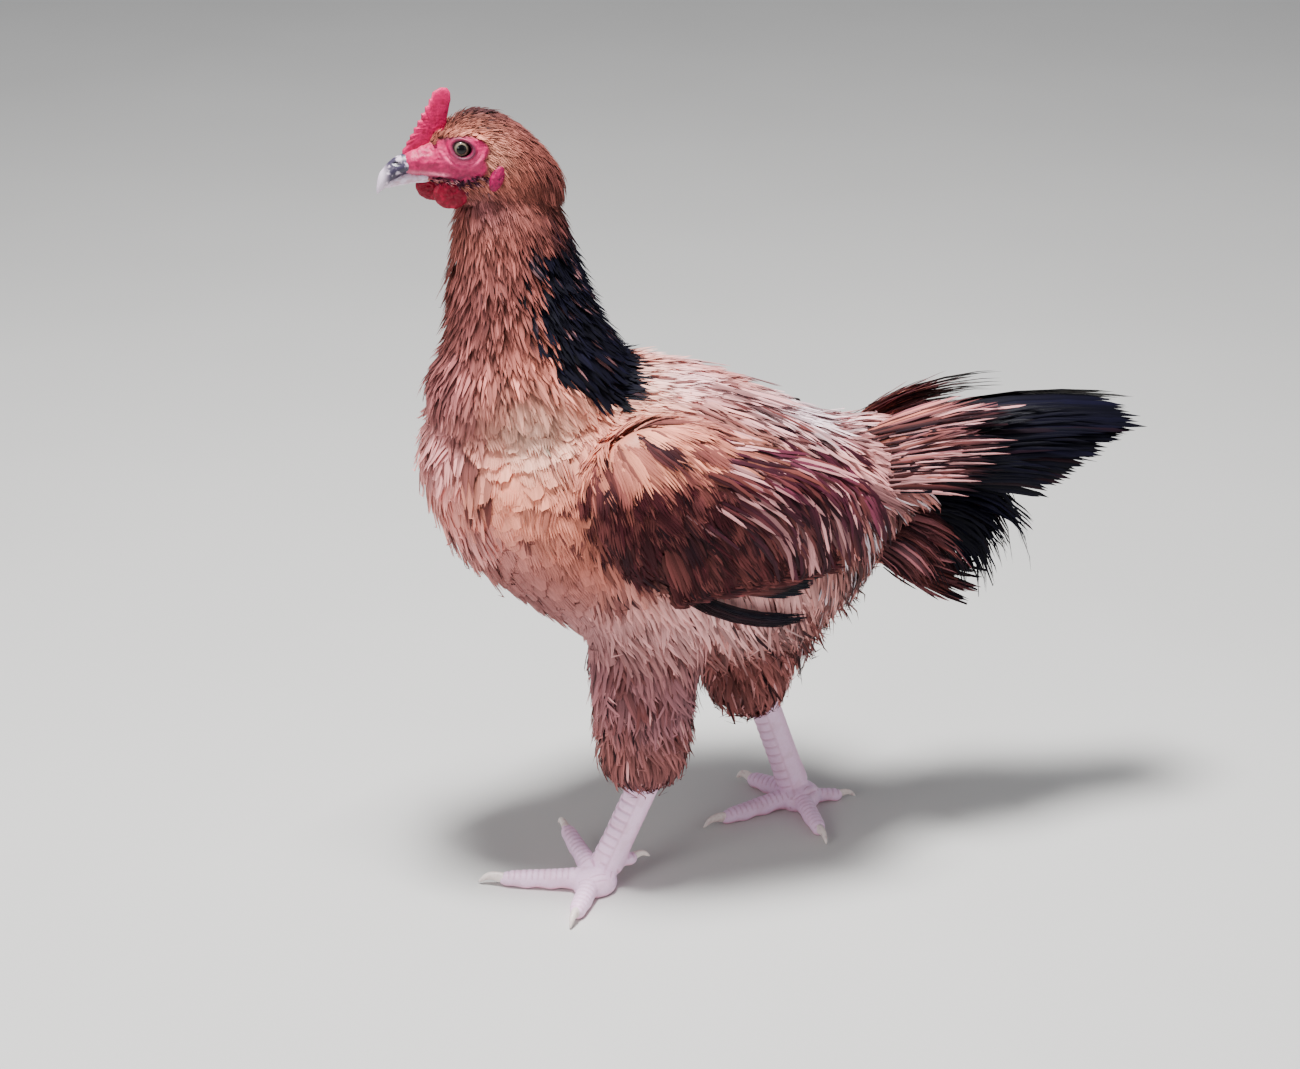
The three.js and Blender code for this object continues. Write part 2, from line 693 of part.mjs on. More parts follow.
function footPad(side, grow = 0) {
  const place = FEET[side].pad;
  const middle = vector(place.x, side * place.y, FLOOR + PAD.z);
  const radii = vector(PAD.radius + grow, PAD.radius + grow, PAD.tall + grow);
  return solid(ball(middle, radii, 10, 7)).trimByPlane([0, 0, 1], FLOOR);
}

/** A point on the toe's line, at a distance from the pad and a height over the floor. */
function toePoint(side, size, reach, height) {
  const foot = FEET[side];
  const turn = THREE.MathUtils.degToRad(size.angle[side]);
  const heading = THREE.MathUtils.degToRad(foot.heading);
  const along = vector(-Math.cos(turn), side * Math.sin(turn), 0).applyAxisAngle(vector(0, 0, 1), heading);
  return vector(foot.pad.x, side * foot.pad.y, FLOOR + height).addScaledVector(along, reach);
}

function toe(side, kind, grow = 0) {
  const size = TOES[kind];
  const rest = size.radius * TOE_SUNK;
  const lifted = (t) => THREE.MathUtils.lerp(size.lift[side].base, size.lift[side].tip, t);
  const points = [
    toePoint(side, size, 2, rest + 2.2 + lifted(0)),
    toePoint(side, size, size.length * 0.35, rest + 0.8 + lifted(0.35)),
    toePoint(side, size, size.length * 0.7, rest * 0.95 + lifted(0.7)),
    toePoint(side, size, size.length, rest * 0.8 + lifted(1)),
  ];
  const scutes = Math.round(size.length / SCUTE_LENGTH);
  const radius = (v, angle) => {
    const cap = Math.min(1, Math.sin(Math.PI * v) * 4);
    return cap * (size.radius * (1 - 0.32 * v) + scute(1 - v, angle, scutes, SCUTE_RAISED));
  };
  return solid(limb({
    curve: new THREE.CatmullRomCurve3(points),
    front: vector(0, 0, 1),
    radius,
    flat: 1,
    slices: 7,
    stacks: scutes * 2,
    grow,
  })).trimByPlane([0, 0, 1], FLOOR);
}

function claw(side, kind) {
  const size = TOES[kind];
  const rest = size.radius * TOE_SUNK;
  const lift = size.lift[side];
  const points = [
    toePoint(side, size, size.length - 5, rest * 0.9 + THREE.MathUtils.lerp(lift.base, lift.tip, 0.9)),
    toePoint(side, size, size.length + size.claw * 0.5, rest * 1.1 + lift.tip),
    toePoint(side, size, size.length + size.claw, CLAW_TIP + lift.tip),
  ];
  const radius = (v) => size.radius * 0.52 * Math.min(1, v * 8) * (1 - v) ** 0.6;
  return solid(limb({
    curve: new THREE.CatmullRomCurve3(points),
    front: vector(0, 0, 1),
    radius,
    flat: 0.8,
    slices: 6,
    stacks: 5,
  })).trimByPlane([0, 0, 1], FLOOR + CLAW_CLEAR);
}

// Assembly

const hen = new THREE.Group();

function add(name, body, material) {
  const mesh = body.getMesh();
  const geometry = new THREE.BufferGeometry();
  geometry.setAttribute('position', new THREE.BufferAttribute(new Float32Array(mesh.vertProperties), 3));
  geometry.setIndex(new THREE.BufferAttribute(new Uint32Array(mesh.triVerts), 1));
  geometry.computeVertexNormals();
  const part = new THREE.Mesh(geometry, material);
  part.name = name;
  hen.add(part);
}

const sideName = { [LEFT]: 'left', [RIGHT]: 'right' };

const torso = solid(alongBody(TORSO, 24, 20));
const torsoGrown = solid(alongBody(TORSO, 24, 20, GAP));
add('torso', torso, buff);

const headGrown = skull(GAP);
add('head', head(), buff);

const beakUpper = onHead(alongBody(BEAK_UPPER, 10, 10));
const beakUpperGrown = onHead(alongBody(BEAK_UPPER, 10, 10, SLOPED_GAP));
add('beak_upper', cut(beakUpper, headGrown, nostril(LEFT), nostril(RIGHT)), horn);
const beakLower = onHead(alongBody(BEAK_LOWER, 10, 8));
const beakLowerGrown = onHead(alongBody(BEAK_LOWER, 10, 8, SLOPED_GAP));
add('beak_lower', cut(beakLower, headGrown, beakUpperGrown), horn);
add('comb', cut(comb(), headGrown, beakUpperGrown), red);

const wingsGrown = [];
for (const side of [LEFT, RIGHT]) {
  const wing = join([solid(wingBody(side, 14, 10)), ...wingFeathers(side)]);
  wingsGrown.push(solid(wingBody(side, 14, 10, GAP)));
  add(`wing_${sideName[side]}`, cut(wing, torsoGrown, thigh(side, GAP)), brown);
}

const neckCore = solid(upBody(NECK, RIGHT, 20, 12));
const neckGrown = solid(upBody(NECK, RIGHT, 20, 12, SLOPED_GAP));
add('neck', cut(join([neckCore, ...hackle()]), torsoGrown, headGrown, ...wingsGrown), brown);

for (const side of [LEFT, RIGHT]) {
  const name = sideName[side];
  add(`eye_${name}`, eye(side), eyeGlass);
  add(`wattle_${name}`, cut(wattle(side), headGrown, neckGrown, beakLowerGrown), red);
  add(`earlobe_${name}`, cut(earlobe(side), headGrown, neckGrown), red);
}

const tailCore = solid(alongBody(TAIL, 14, 8));
const tail = join([tailCore, ridgeFeather(), ...tailFeathers(LEFT), ...tailFeathers(RIGHT)]);
add('tail', cut(tail, torsoGrown), black);

for (const side of [LEFT, RIGHT]) {
  const name = sideName[side];
  add(`thigh_${name}`, cut(thigh(side), torsoGrown, ...wingsGrown), buff);

  add(`shank_${name}`, cut(shank(side), thigh(side, GAP)), skinPink);
  const shankGrown = shank(side, GAP);
  add(`foot_pad_${name}`, cut(footPad(side), shankGrown), skinPink);
  const padGrown = footPad(side, GAP);
  for (const kind of Object.keys(TOES)) {
    add(`toe_${kind}_${name}`, cut(toe(side, kind), padGrown, shankGrown), skinPink);
    add(`claw_${kind}_${name}`, cut(claw(side, kind), toe(side, kind, SLOPED_GAP)), clawHorn);
  }
}

const box = new THREE.Box3().setFromObject(hen);
const middle = box.getCenter(new THREE.Vector3());
hen.position.set(-middle.x, -middle.y, -box.min.z);

export default hen;
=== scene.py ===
"""A standing hen, life size: one skin, a coat of mesh feathers, bare head parts, and scaled legs.

Places on the bird are given in millimetres from its own reference point: x to the tail, y to the
right side, z up. They are turned into the row's metres when a mesh is made.
"""

import math

import bpy
import numpy as np
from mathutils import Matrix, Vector, noise
from mathutils.bvhtree import BVHTree
from mathutils.interpolate import poly_3d_calc


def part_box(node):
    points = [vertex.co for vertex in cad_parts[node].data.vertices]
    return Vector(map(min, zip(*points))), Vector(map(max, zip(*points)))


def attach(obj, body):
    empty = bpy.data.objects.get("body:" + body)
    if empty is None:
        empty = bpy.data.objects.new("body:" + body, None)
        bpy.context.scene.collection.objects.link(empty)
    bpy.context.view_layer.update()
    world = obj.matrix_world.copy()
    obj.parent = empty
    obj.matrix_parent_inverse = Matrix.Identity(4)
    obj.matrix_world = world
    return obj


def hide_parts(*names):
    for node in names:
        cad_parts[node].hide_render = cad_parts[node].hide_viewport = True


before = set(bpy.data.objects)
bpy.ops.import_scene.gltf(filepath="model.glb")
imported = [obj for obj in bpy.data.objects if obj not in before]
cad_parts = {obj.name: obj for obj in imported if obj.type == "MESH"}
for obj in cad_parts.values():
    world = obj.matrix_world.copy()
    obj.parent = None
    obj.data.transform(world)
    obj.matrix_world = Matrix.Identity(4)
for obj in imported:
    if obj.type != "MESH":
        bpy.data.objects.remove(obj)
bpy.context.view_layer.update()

MM = 0.001
LEFT, RIGHT = -1, 1
SIDES = {"left": LEFT, "right": RIGHT}
rng = np.random.default_rng(20)

# The bird's reference point, found from the torso: its front, its middle plane and its lowest point.
TORSO_FRONT, TORSO_LOWEST = -129, 115
torso_low, torso_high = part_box("torso")
ORIGIN = np.array((
    torso_low.x - TORSO_FRONT * MM,
    (torso_low.y + torso_high.y) / 2,
    torso_low.z - TORSO_LOWEST * MM,
))

# ---------------------------------------------------------------- sizes of the body

# Sections across the torso, the wings' flesh and the tail's root: x, top, bottom, half width.
TORSO = [
    (-129, 243, 243, 0), (-121, 270, 211, 33), (-106, 284, 185, 46), (-80, 291, 161, 57),
    (-45, 294, 136, 64), (0, 294, 119, 66), (40, 284, 115, 65), (75, 267, 121, 60),
    (105, 252, 138, 48), (127, 236, 162, 30), (137, 202, 202, 0),
]
TAIL_ROOT = [
    (96, 226, 226, 0), (104, 248, 176, 33), (124, 247, 168, 32), (144, 242, 174, 22), (162, 237, 184, 13),
    (180, 213, 213, 0),
]
WING = [
    (-53, 240, 240, 0), (-44, 265, 211, 13), (-18, 280, 186, 23), (12, 274, 182, 26),
    (45, 253, 185, 21), (68, 232, 192, 11), (78, 210, 210, 0),
]
WING_MIDDLE = [(-53, 60), (-44, 60), (-18, 56), (12, 54), (45, 54), (68, 58), (78, 60)]
# Level rings: height, middle x, half length, half width.
NECK = [
    (250, -64, 0, 0), (262, -65, 56, 46), (282, -65, 56.5, 48), (300, -65, 48, 42), (320, -69, 41.5, 37),
    (342, -72, 38, 32), (362, -74, 35, 29), (381, -76, 31, 26), (398, -78, 22, 19), (404, -79, 0, 0),
]
# Level rings of each thigh: height, middle x, middle y, half length, half width.
THIGHS = {
    LEFT: [
        (53, -12, 40, 0, 0), (58, -13, 40, 20, 17), (82, -13, 41, 28, 23), (112, -14, 41, 30.5, 25),
        (146, -9, 38, 38, 25), (172, -2, 34, 42, 24), (190, 0, 28, 0, 0),
    ],
    RIGHT: [
        (56, 65, 30, 0, 0), (62, 64, 30, 20, 17), (80, 65, 34, 29, 23), (103, 66, 37, 39, 25),
        (135, 53, 38, 52, 25), (164, 38, 34, 52, 24), (186, 30, 28, 0, 0),
    ],
}
# The head is measured from the middle of the skull and turned to its left: x, top, bottom, half width.
HEAD_PLACE = np.array((-78.0, 0.0, 406.0))
HEAD_TURN = math.radians(8)
HEAD_COS, HEAD_SIN = math.cos(HEAD_TURN), math.sin(HEAD_TURN)
HEAD = [
    (-56, 3, 3, 0), (-53.5, 9.2, -2.4, 6), (-46, 12.5, -3.4, 8.6), (-40.5, 14.6, -8.2, 10.4),
    (-29, 25, -17, 15.5), (-19, 30, -22, 18.5), (-6, 28.5, -26, 21), (6, 22, -28, 21.5),
    (18, 11, -29, 19), (27, -3, -27, 13), (31, -15, -15, 0),
]
EYE = (-26, 11.6, 12.4)
EYE_RADIUS = 5.2
BEAK_UPPER = [
    (-68, -9.4, -9.4, 0), (-66.8, -2, -10.2, 1.7), (-64, 2.4, -8.4, 2.8), (-60, 6.2, -5.2, 4.1),
    (-55, 8.5, -2.2, 5.3), (-47, 9.5, -1, 6.4), (-41, 4, 4, 0),
]
BEAK_LOWER = [
    (-64.6, -6.6, -6.6, 0), (-62.6, -4.2, -8, 1.9), (-56, -1.4, -7.4, 3.9), (-48, 0, -6.8, 5.4),
    (-41, 0, -6.6, 6.2), (-37, -3, -3, 0),
]
NOSTRIL = (-57.5, 4.4, 5)

# Legs: the hock, the ankle, the pad's middle and the way each foot heads, in degrees. y is the
# distance from the middle plane.
FLOOR = -3.7
FEET = {
    LEFT: {"hock": (1, 35, 82), "ankle": (-37.5, 40.5, 2), "pad": (-42, 43), "heading": -18},
    RIGHT: {"hock": (67, 37, 88), "ankle": (95.5, 30.5, 2), "pad": (96, 29), "heading": 17},
}
# Toes: angle outwards from the heading and lift of base and tip for the left and the right foot,
# then length, claw length and radius.
TOES = {
    "inner": ({LEFT: (-62, 3, 14), RIGHT: (-75, 0, 0)}, 44, 10, 5.9),
    "middle": ({LEFT: (0, 0, 0), RIGHT: (0, 0, 0)}, 54, 11, 6.2),
    "outer": ({LEFT: (80, 0, 0), RIGHT: (71, 0, 0)}, 38, 9, 6.3),
    "hind": ({LEFT: (-148, 8, 11), RIGHT: (-162, 0, 0)}, 27, 8, 4.9),
}
SHANK_RADIUS = 8.8

# How deep the coat is over the skin.
COAT = {"torso": 7, "neck": 7, "thigh": 8, "head": 2.4, "wing": 4, "tail": 4}

# ---------------------------------------------------------------- small tools


def to_row(points):
    """Millimetres from the bird's reference point, as metres in the row's frame."""
    return np.asarray(points, float) * MM + ORIGIN


def to_bird(points):
    return (np.asarray(points, float) - ORIGIN) / MM


def on_side(side, x, away, z):
    """A place at a distance from the middle plane, on one side."""
    return np.array((x, side * away, z))


def on_head(points):
    """Millimetres in the head's own measures, as places on the bird."""
    x, y, z = np.atleast_2d(np.asarray(points, float)).T
    return np.stack((x * HEAD_COS - y * HEAD_SIN, x * HEAD_SIN + y * HEAD_COS, z), 1) + HEAD_PLACE


def in_head(points):
    """Places on the bird, in the head's own measures."""
    x, y, z = (points - HEAD_PLACE).T
    return np.stack((x * HEAD_COS + y * HEAD_SIN, y * HEAD_COS - x * HEAD_SIN, z), 1)


def unit(vectors):
    length = np.linalg.norm(vectors, axis=-1, keepdims=True)
    return vectors / np.maximum(length, 1e-9)


def dot(a, b):
    return (a * b).sum(axis=-1, keepdims=True)


def ease(low, high, value):
    """0 below low, 1 above high, and smooth between."""
    t = np.clip((value - low) / (high - low), 0, 1)
    return t * t * (3 - 2 * t)


def bump(away, reach):
    return np.exp(-((away / reach) ** 2))


def smooth(places, values, at):
    """A smooth curve through given values."""
    places, values = np.asarray(places, float), np.asarray(values, float)
    slopes = np.gradient(values, places, axis=0)
    i = np.clip(np.searchsorted(places, at) - 1, 0, len(places) - 2)
    gap = (places[i + 1] - places[i])[:, None]
    t = (at - places[i])[:, None] / gap
    start = values[i] * (2 * t**3 - 3 * t**2 + 1) + slopes[i] * gap * (t**3 - 2 * t**2 + t)
    end = values[i + 1] * (3 * t**2 - 2 * t**3) + slopes[i + 1] * gap * (t**3 - t**2)
    return start + end


def grain(points, size, octaves=2):
    """Smooth noise between about -1 and 1 at places, with features of a size in millimetres."""
    return np.array([noise.fractal(Vector(p) / size, 0.6, 2.0, octaves) for p in points.tolist()])


def mirrored(points):
    """Places on either side, as places on the right half."""
    flipped = points.copy()
    flipped[:, 1] = np.abs(flipped[:, 1])
    return flipped


def blend(a, b, share):
    """From a to b by a share, which may be one number for each row."""
    share = np.asarray(share)
    if share.ndim == 1:
        share = share[:, None]
    return a * (1 - share) + b * share


def verts_of(obj, field="co"):
    values = np.empty(len(obj.data.vertices) * 3, np.float32)
    obj.data.vertices.foreach_get(field, values)
    return values.reshape(-1, 3).astype(float)


def normals_of(obj):
    return verts_of(obj, "normal")


def places_of(obj):
    """Where the vertices of a mesh lie on the bird."""
    return to_bird(verts_of(obj))


def set_places(obj, places):
    obj.data.vertices.foreach_set("co", to_row(places).astype(np.float32).ravel())
    obj.data.update()


def select_only(*objs):
    bpy.ops.object.select_all(action="DESELECT")
    for obj in objs:
        obj.select_set(True)
    bpy.context.view_layer.objects.active = objs[-1]


def apply_all(obj):
    select_only(obj)
    for modifier in list(obj.modifiers):
        bpy.ops.object.modifier_apply(modifier=modifier.name)


def join(name, objs):
    select_only(*objs)
    if len(objs) > 1:
        bpy.ops.object.join()
    obj = bpy.context.object
    obj.name = name
    return obj


def edit(obj, *steps):
    """Edit-mode steps on the whole mesh."""
    select_only(obj)
    bpy.ops.object.mode_set(mode="EDIT")
    bpy.ops.mesh.select_all(action="SELECT")
    for step in steps:
        step()
    bpy.ops.object.mode_set(mode="OBJECT")


def face_outwards(obj):
    edit(obj, lambda: bpy.ops.mesh.normals_make_consistent(inside=False))


def primitive(name, add, **settings):
    """A new primitive, with nothing else selected."""
    bpy.ops.object.select_all(action="DESELECT")
    add(**settings)
    bpy.context.object.name = name
    return bpy.context.object


def fuse(obj, voxel, softening):
    """Fuses the closed parts of a mesh into one skin and softens it."""
    remesh = obj.modifiers.new("fuse", "REMESH")
    remesh.mode = "VOXEL"
    remesh.voxel_size = voxel * MM
    obj.modifiers.new("soften", "SMOOTH").iterations = softening
    apply_all(obj)


def paint(obj, colours):
    """Colours the vertices of a mesh."""
    solid = np.concatenate((colours, np.ones((len(colours), 1))), 1)
    tint = obj.data.color_attributes.new("Plume", "FLOAT_COLOR", "POINT")
    tint.data.foreach_set("color", solid.astype(np.float32).ravel())


# Edges of feathers that are sharper than this angle, in degrees, stay sharp.
CRISP = 50


def finish_piece(obj, material, slot, *nodes, crisp=None):
    """The piece takes its finish, rides on the bird and stands for its solids."""
    obj.data.materials.clear()
    obj.data.materials.append(material)
    obj.data.shade_smooth()
    if crisp:
        obj.data.set_sharp_from_angle(angle=math.radians(crisp))
    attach(obj, "root")
    if nodes:
        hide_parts(*nodes)


# The angle from the pole at which a loft's end rings lie, the least square of a half size, and the
# least share of a section that is left under the coat.
POLE = 0.12
TINY = 0.05
LEAST = 0.3


def rings_along(stations, count, upright, depth):
    """Rings for a loft: middle and half sizes, smooth between the stations and round at both ends."""
    table = np.asarray(stations, float)
    turn = np.cos(np.linspace(POLE, math.pi - POLE, count))
    at = table[0, 0] + (table[-1, 0] - table[0, 0]) * (1 - turn) / 2
    if upright:
        halves = np.stack((table[:, 3], (table[:, 1] - table[:, 2]) / 2), 1)
        middles = ((table[:, 1] + table[:, 2]) / 2)[:, None]
    else:
        halves = table[:, -2:]
        middles = table[:, 1:-2]
    half = np.sqrt(np.maximum(smooth(table[:, 0], halves**2, at), TINY))
    half = np.maximum(half - depth, half * LEAST)
    middle = smooth(table[:, 0], middles, at)
    shrink = (at - at.mean()) * (1 - 2 * depth / (at[-1] - at[0])) + at.mean()
    return shrink, middle, half


def loft(name, centres, halves, upright, sides=28):
    """A closed tube, extruded ring by ring from a filled circle. Half sizes are (across, up) for
    upright rings and (along, across) for level ones."""
    centres = [Vector(c) for c in to_row(centres)]
    halves = np.asarray(halves) * MM
    turn = (0, math.pi / 2, 0) if upright else (0, 0, 0)

    def scale(a, b):
        return (1, a, b) if upright else (a, b, 1)

    obj = primitive(name, bpy.ops.mesh.primitive_circle_add, vertices=sides, radius=1, fill_type="NGON",
                    location=centres[0], rotation=turn)
    bpy.ops.object.transform_apply(location=True, rotation=True, scale=True)
    bpy.ops.object.mode_set(mode="EDIT")
    bpy.ops.mesh.select_all(action="SELECT")
    bpy.ops.transform.resize(value=scale(*halves[0]), center_override=centres[0])
    for k in range(1, len(centres)):
        bpy.ops.mesh.extrude_region_move(TRANSFORM_OT_translate={"value": centres[k] - centres[k - 1]})
        bpy.ops.transform.resize(value=scale(*(halves[k] / halves[k - 1])), center_override=centres[k])
    bpy.ops.mesh.select_all(action="SELECT")
    bpy.ops.mesh.normals_make_consistent(inside=False)
    bpy.ops.object.mode_set(mode="OBJECT")
    return obj


def turn_head(obj):
    """Turns a piece that was made straight ahead to where the head looks."""
    set_places(obj, on_head(places_of(obj) - HEAD_PLACE))


def body_loft(name, stations, depth, y=None, count=26):
    at, middle, half = rings_along(stations, count, True, depth)
    across = np.zeros(count) if y is None else np.interp(at, *np.transpose(y))
    return loft(name, np.stack((at, across, middle[:, 0]), 1), half, True)


def level_loft(name, stations, depth, count, side=RIGHT):
    """Level rings, either in the middle plane or at their own distance from it."""
    at, middle, half = rings_along(stations, count, False, depth)
    across = side * middle[:, 1] if middle.shape[1] > 1 else 0 * at
    return loft(name, np.stack((middle[:, 0], across, at), 1), half, False)


def head_loft(name, stations, depth, count, sides=28):
    at, middle, half = rings_along(stations, count, True, depth)
    obj = loft(name, np.stack((at, 0 * at, middle[:, 0]), 1) + HEAD_PLACE, half, True, sides)
    turn_head(obj)
    return obj


# ---------------------------------------------------------------- colours


def srgb(r, g, b):
    """A colour named by its 0-255 screen values, as linear light."""
    c = np.array((r, g, b)) / 255
    return np.where(c <= 0.04045, c / 12.92, ((c + 0.055) / 1.055) ** 2.4)


BUFF = srgb(194, 112, 94)
PEACH = srgb(255, 160, 130)
CREAM = srgb(255, 192, 162)
# GLARE is a painted highlight: the pale sheen of sunlit feathers on the back, the saddle and the rump.
GLARE = srgb(255, 240, 250)
ROSE = srgb(240, 168, 168)
MAUVE = srgb(140, 84, 88)
BROWN = srgb(104, 54, 52)
CHESTNUT = srgb(56, 18, 24)
UMBER = srgb(34, 12, 20)
BLACK = srgb(5, 4, 17)
PLUM = srgb(84, 36, 50)
RED = srgb(178, 0, 80)
CROWN = srgb(48, 22, 34)

# Patches of colour over the buff ground, some of them painted highlights and painted shade: middle on the
# right half, reach each way, colour, strength.
MARKINGS = [
    ((-88, 50, 240), (28, 22, 30), PEACH, 1), ((-60, 60, 262), (44, 20, 16), PEACH, 1),
    # On this line, the pale cream at (-74, 52, 268) is a painted highlight high on the breast.
    ((-74, 52, 268), (25, 22, 17), srgb(255, 212, 190), 0.9), ((-56, 70, 232), (22, 14, 22), PEACH, 0.7),
    ((-122, 20, 252), (22, 30, 30), ROSE, 0.9), ((-104, 30, 205), (30, 40, 16), ROSE, 0.6),
    # The two dark patches on this line are painted shade on the underside of the lower breast.
    ((-92, 30, 168), (44, 40, 28), srgb(96, 58, 62), 1), ((-60, 45, 150), (50, 40, 28), srgb(104, 62, 66), 1),
    # On this line: the mauve at (-40, 30, 126) is painted shade low on the belly, and the cream at (-6, 34,
    # 284) is a painted highlight on the shoulders.
    ((-40, 30, 126), (60, 50, 16), MAUVE, 1), ((-6, 34, 284), (30, 26, 14), CREAM, 1),
    # On this line and the next: the rose at (30, 30, 280) is partly the back's own colour and partly painted
    # highlight, and the GLARE patches are painted highlights on the back and the saddle.
    ((30, 30, 280), (34, 30, 14), ROSE, 0.8), ((34, 22, 284), (40, 18, 8), GLARE, 0.5),
    ((100, 14, 252), (30, 26, 14), GLARE, 1), ((70, 30, 266), (26, 24, 12), GLARE, 0.55),
    ((20, 74, 258), (40, 24, 12), PEACH, 0.7), ((-20, 74, 258), (30, 20, 12), PEACH, 0.8),
    ((124, 40, 218), (28, 40, 30), ROSE, 1), ((108, 50, 168), (30, 36, 30), BROWN, 1),
    ((124, 40, 186), (20, 40, 16), UMBER, 0.8),
    ((-48, 20, 398), (20, 30, 30), srgb(72, 34, 36), 1), ((-44, 15, 366), (20, 30, 24), UMBER, 1),
    ((-104, 20, 330), (34, 40, 60), srgb(126, 72, 72), 0.9), ((-72, 30, 350), (26, 24, 40), BROWN, 0.8),
    ((-88, 0, 437), (42, 22, 17), srgb(18, 6, 15), 1), ((-58, 0, 428), (20, 18, 18), srgb(60, 26, 38), 0.9),
    ((36, 60, 157), (72, 40, 25), srgb(255, 192, 190), 1),
    ((0, 50, 108), (70, 50, 34), srgb(142, 94, 100), 1), ((-12, 50, 60), (60, 50, 28), srgb(92, 56, 60), 1),
    ((66, 50, 72), (36, 50, 28), srgb(94, 58, 64), 1), ((84, 50, 114), (40, 50, 26), srgb(130, 84, 90), 0.9),
    ((-84, 24, 412), (9, 12, 11), CREAM, 0.25), ((-96, 20, 420), (10, 20, 12), PEACH, 0.4),
    # On this line, the mauve at (-92, 14, 384) is a painted shadow on the throat under the head.
    ((-92, 14, 384), (16, 24, 10), MAUVE, 0.8), ((-66, 24, 420), (12, 14, 14), BROWN, 0.6),
    # On this line, the patch at (-84, 50, 186) is painted shade on the lower breast.
    ((-118, 20, 288), (20, 40, 26), MAUVE, 0.8), ((-84, 50, 186), (40, 40, 20), srgb(150, 96, 94), 0.7),
]


def cape(points):
    """How black the coat is over the nape, the lower neck and between the shoulders."""
    x, y, z = mirrored(points).T
    edge = np.interp(z, (266, 276, 286, 300, 335, 365, 385), (-8, -30, -46, -62, -66, -68, -60))
    soft = np.interp(z, (290, 335, 365), (7, 14, 22))
    behind = ease(-1, 1, (x - edge) / soft)
    rear = np.interp(y, (0, 45), (-4, -24))
    return behind * (1 - ease(-4, 4, x - rear)) * ease(262, 272, z) * (1 - ease(350, 392, z))


def is_flight_side(points):
    """1 on the dark lower part of the folded wing."""
    x, y, z = mirrored(points).T
    top = np.interp(x, (-50, -20, 10, 40, 70), (238, 242, 247, 250, 246))
    return ease(12, -12, z - top) * ease(54, 62, y) * ease(-56, -40, x) * ease(170, 178, z)


def buff_plumage(points):
    """The colour of the coat at places on the bird, without the cape."""
    half = mirrored(points)
    colour = np.tile(BUFF, (len(points), 1))
    for middle, reach, patch, strength in MARKINGS:
        share = strength * np.exp(-(((half - middle) / reach) ** 2).sum(axis=1))
        colour = blend(colour, patch, share)
    colour = blend(colour, CHESTNUT, is_flight_side(points))
    return blend(colour, BLACK, ease(160, 178, points[:, 0] + 0.4 * (points[:, 2] - 230)))


def plumage(points):
    """The colour of the coat at places on the bird."""
    return blend(buff_plumage(points), BLACK, cape(points))


# ---------------------------------------------------------------- the skin

# Ovals of the bare face, in the head's measures: middle x and z, half sizes.
FACE = [(-26, 11.3, 13.5, 7.8), (-37, 5, 13, 9.5), (-26, 2.5, 12, 8.5), (-48, 4.5, 12, 9)]
LIDS = {"opening": 3.6, "rim": 4.5, "thick": 0.8, "tilt": math.radians(-10)}
# How far the skin of the bare face lies inside the head's outline, and the height that it ends at.
FACE_DEPTH = 0.4
FACE_LOWEST = 385
# The voxels and rounds of softening of the whole skin, and of settling where neck and trunk meet.
SKIN_VOXEL, SKIN_SOFTENING, TRUNK_SETTLING = 2.2, 8, 110
# The eye's opening is drawn out along the lids, and flatter above than below.
EYE_LONG, EYE_ABOVE, EYE_BELOW = 1.16, 0.94, 1.02


def face_share(points):
    """1 on the bare face, falling to 0 just outside it."""
    x, _, z = in_head(points).T
    share = np.zeros(len(points))
    for middle_x, middle_z, long, tall in FACE:
        away = np.hypot((x - middle_x) / long, (z - middle_z) / tall)
        share = np.maximum(share, 1 - ease(0.88, 1.08, away))
    return share * (points[:, 2] > FACE_LOWEST)


def round_eye(points):
    """The distance from the middle of the eye over the face, drawn out along the lids."""
    x, _, z = in_head(points).T
    c, s = math.cos(LIDS["tilt"]), math.sin(LIDS["tilt"])
    dx, dz = x - EYE[0], z - EYE[2]
    up = dz * c - dx * s
    return np.hypot((dx * c + dz * s) / EYE_LONG, up / np.where(up > 0, EYE_ABOVE, EYE_BELOW)), dx, dz


def make_skin():
    """Lofts for torso, neck, head, thighs, wings and tail root, fused into one smooth skin."""
    lofts = [
        body_loft("torso_flesh", TORSO, COAT["torso"]),
        body_loft("tail_flesh", TAIL_ROOT, COAT["tail"], count=12),
        level_loft("neck_flesh", NECK, COAT["neck"], 22),
        head_loft("head_flesh", HEAD, COAT["head"], 22),
    ]
    for side in SIDES.values():
        lofts.append(level_loft("thigh_flesh", THIGHS[side], COAT["thigh"], 16, side))
        wing_y = [(x, side * y) for x, y in WING_MIDDLE]
        lofts.append(body_loft("wing_flesh", WING, COAT["wing"], y=wing_y, count=16))
    skin = join("skin", lofts)
    fuse(skin, SKIN_VOXEL, SKIN_SOFTENING)
    heights = places_of(skin)[:, 2]
    trunk = skin.vertex_groups.new(name="trunk")
    weights = np.round(ease(315, 280, heights) * ease(120, 150, heights), 1)
    for level in np.unique(weights):
        trunk.add(np.flatnonzero(weights == level).tolist(), float(level), "REPLACE")
    settle = skin.modifiers.new("settle", "SMOOTH")
    settle.iterations = TRUNK_SETTLING
    settle.vertex_group = "trunk"
    apply_all(skin)
    return skin


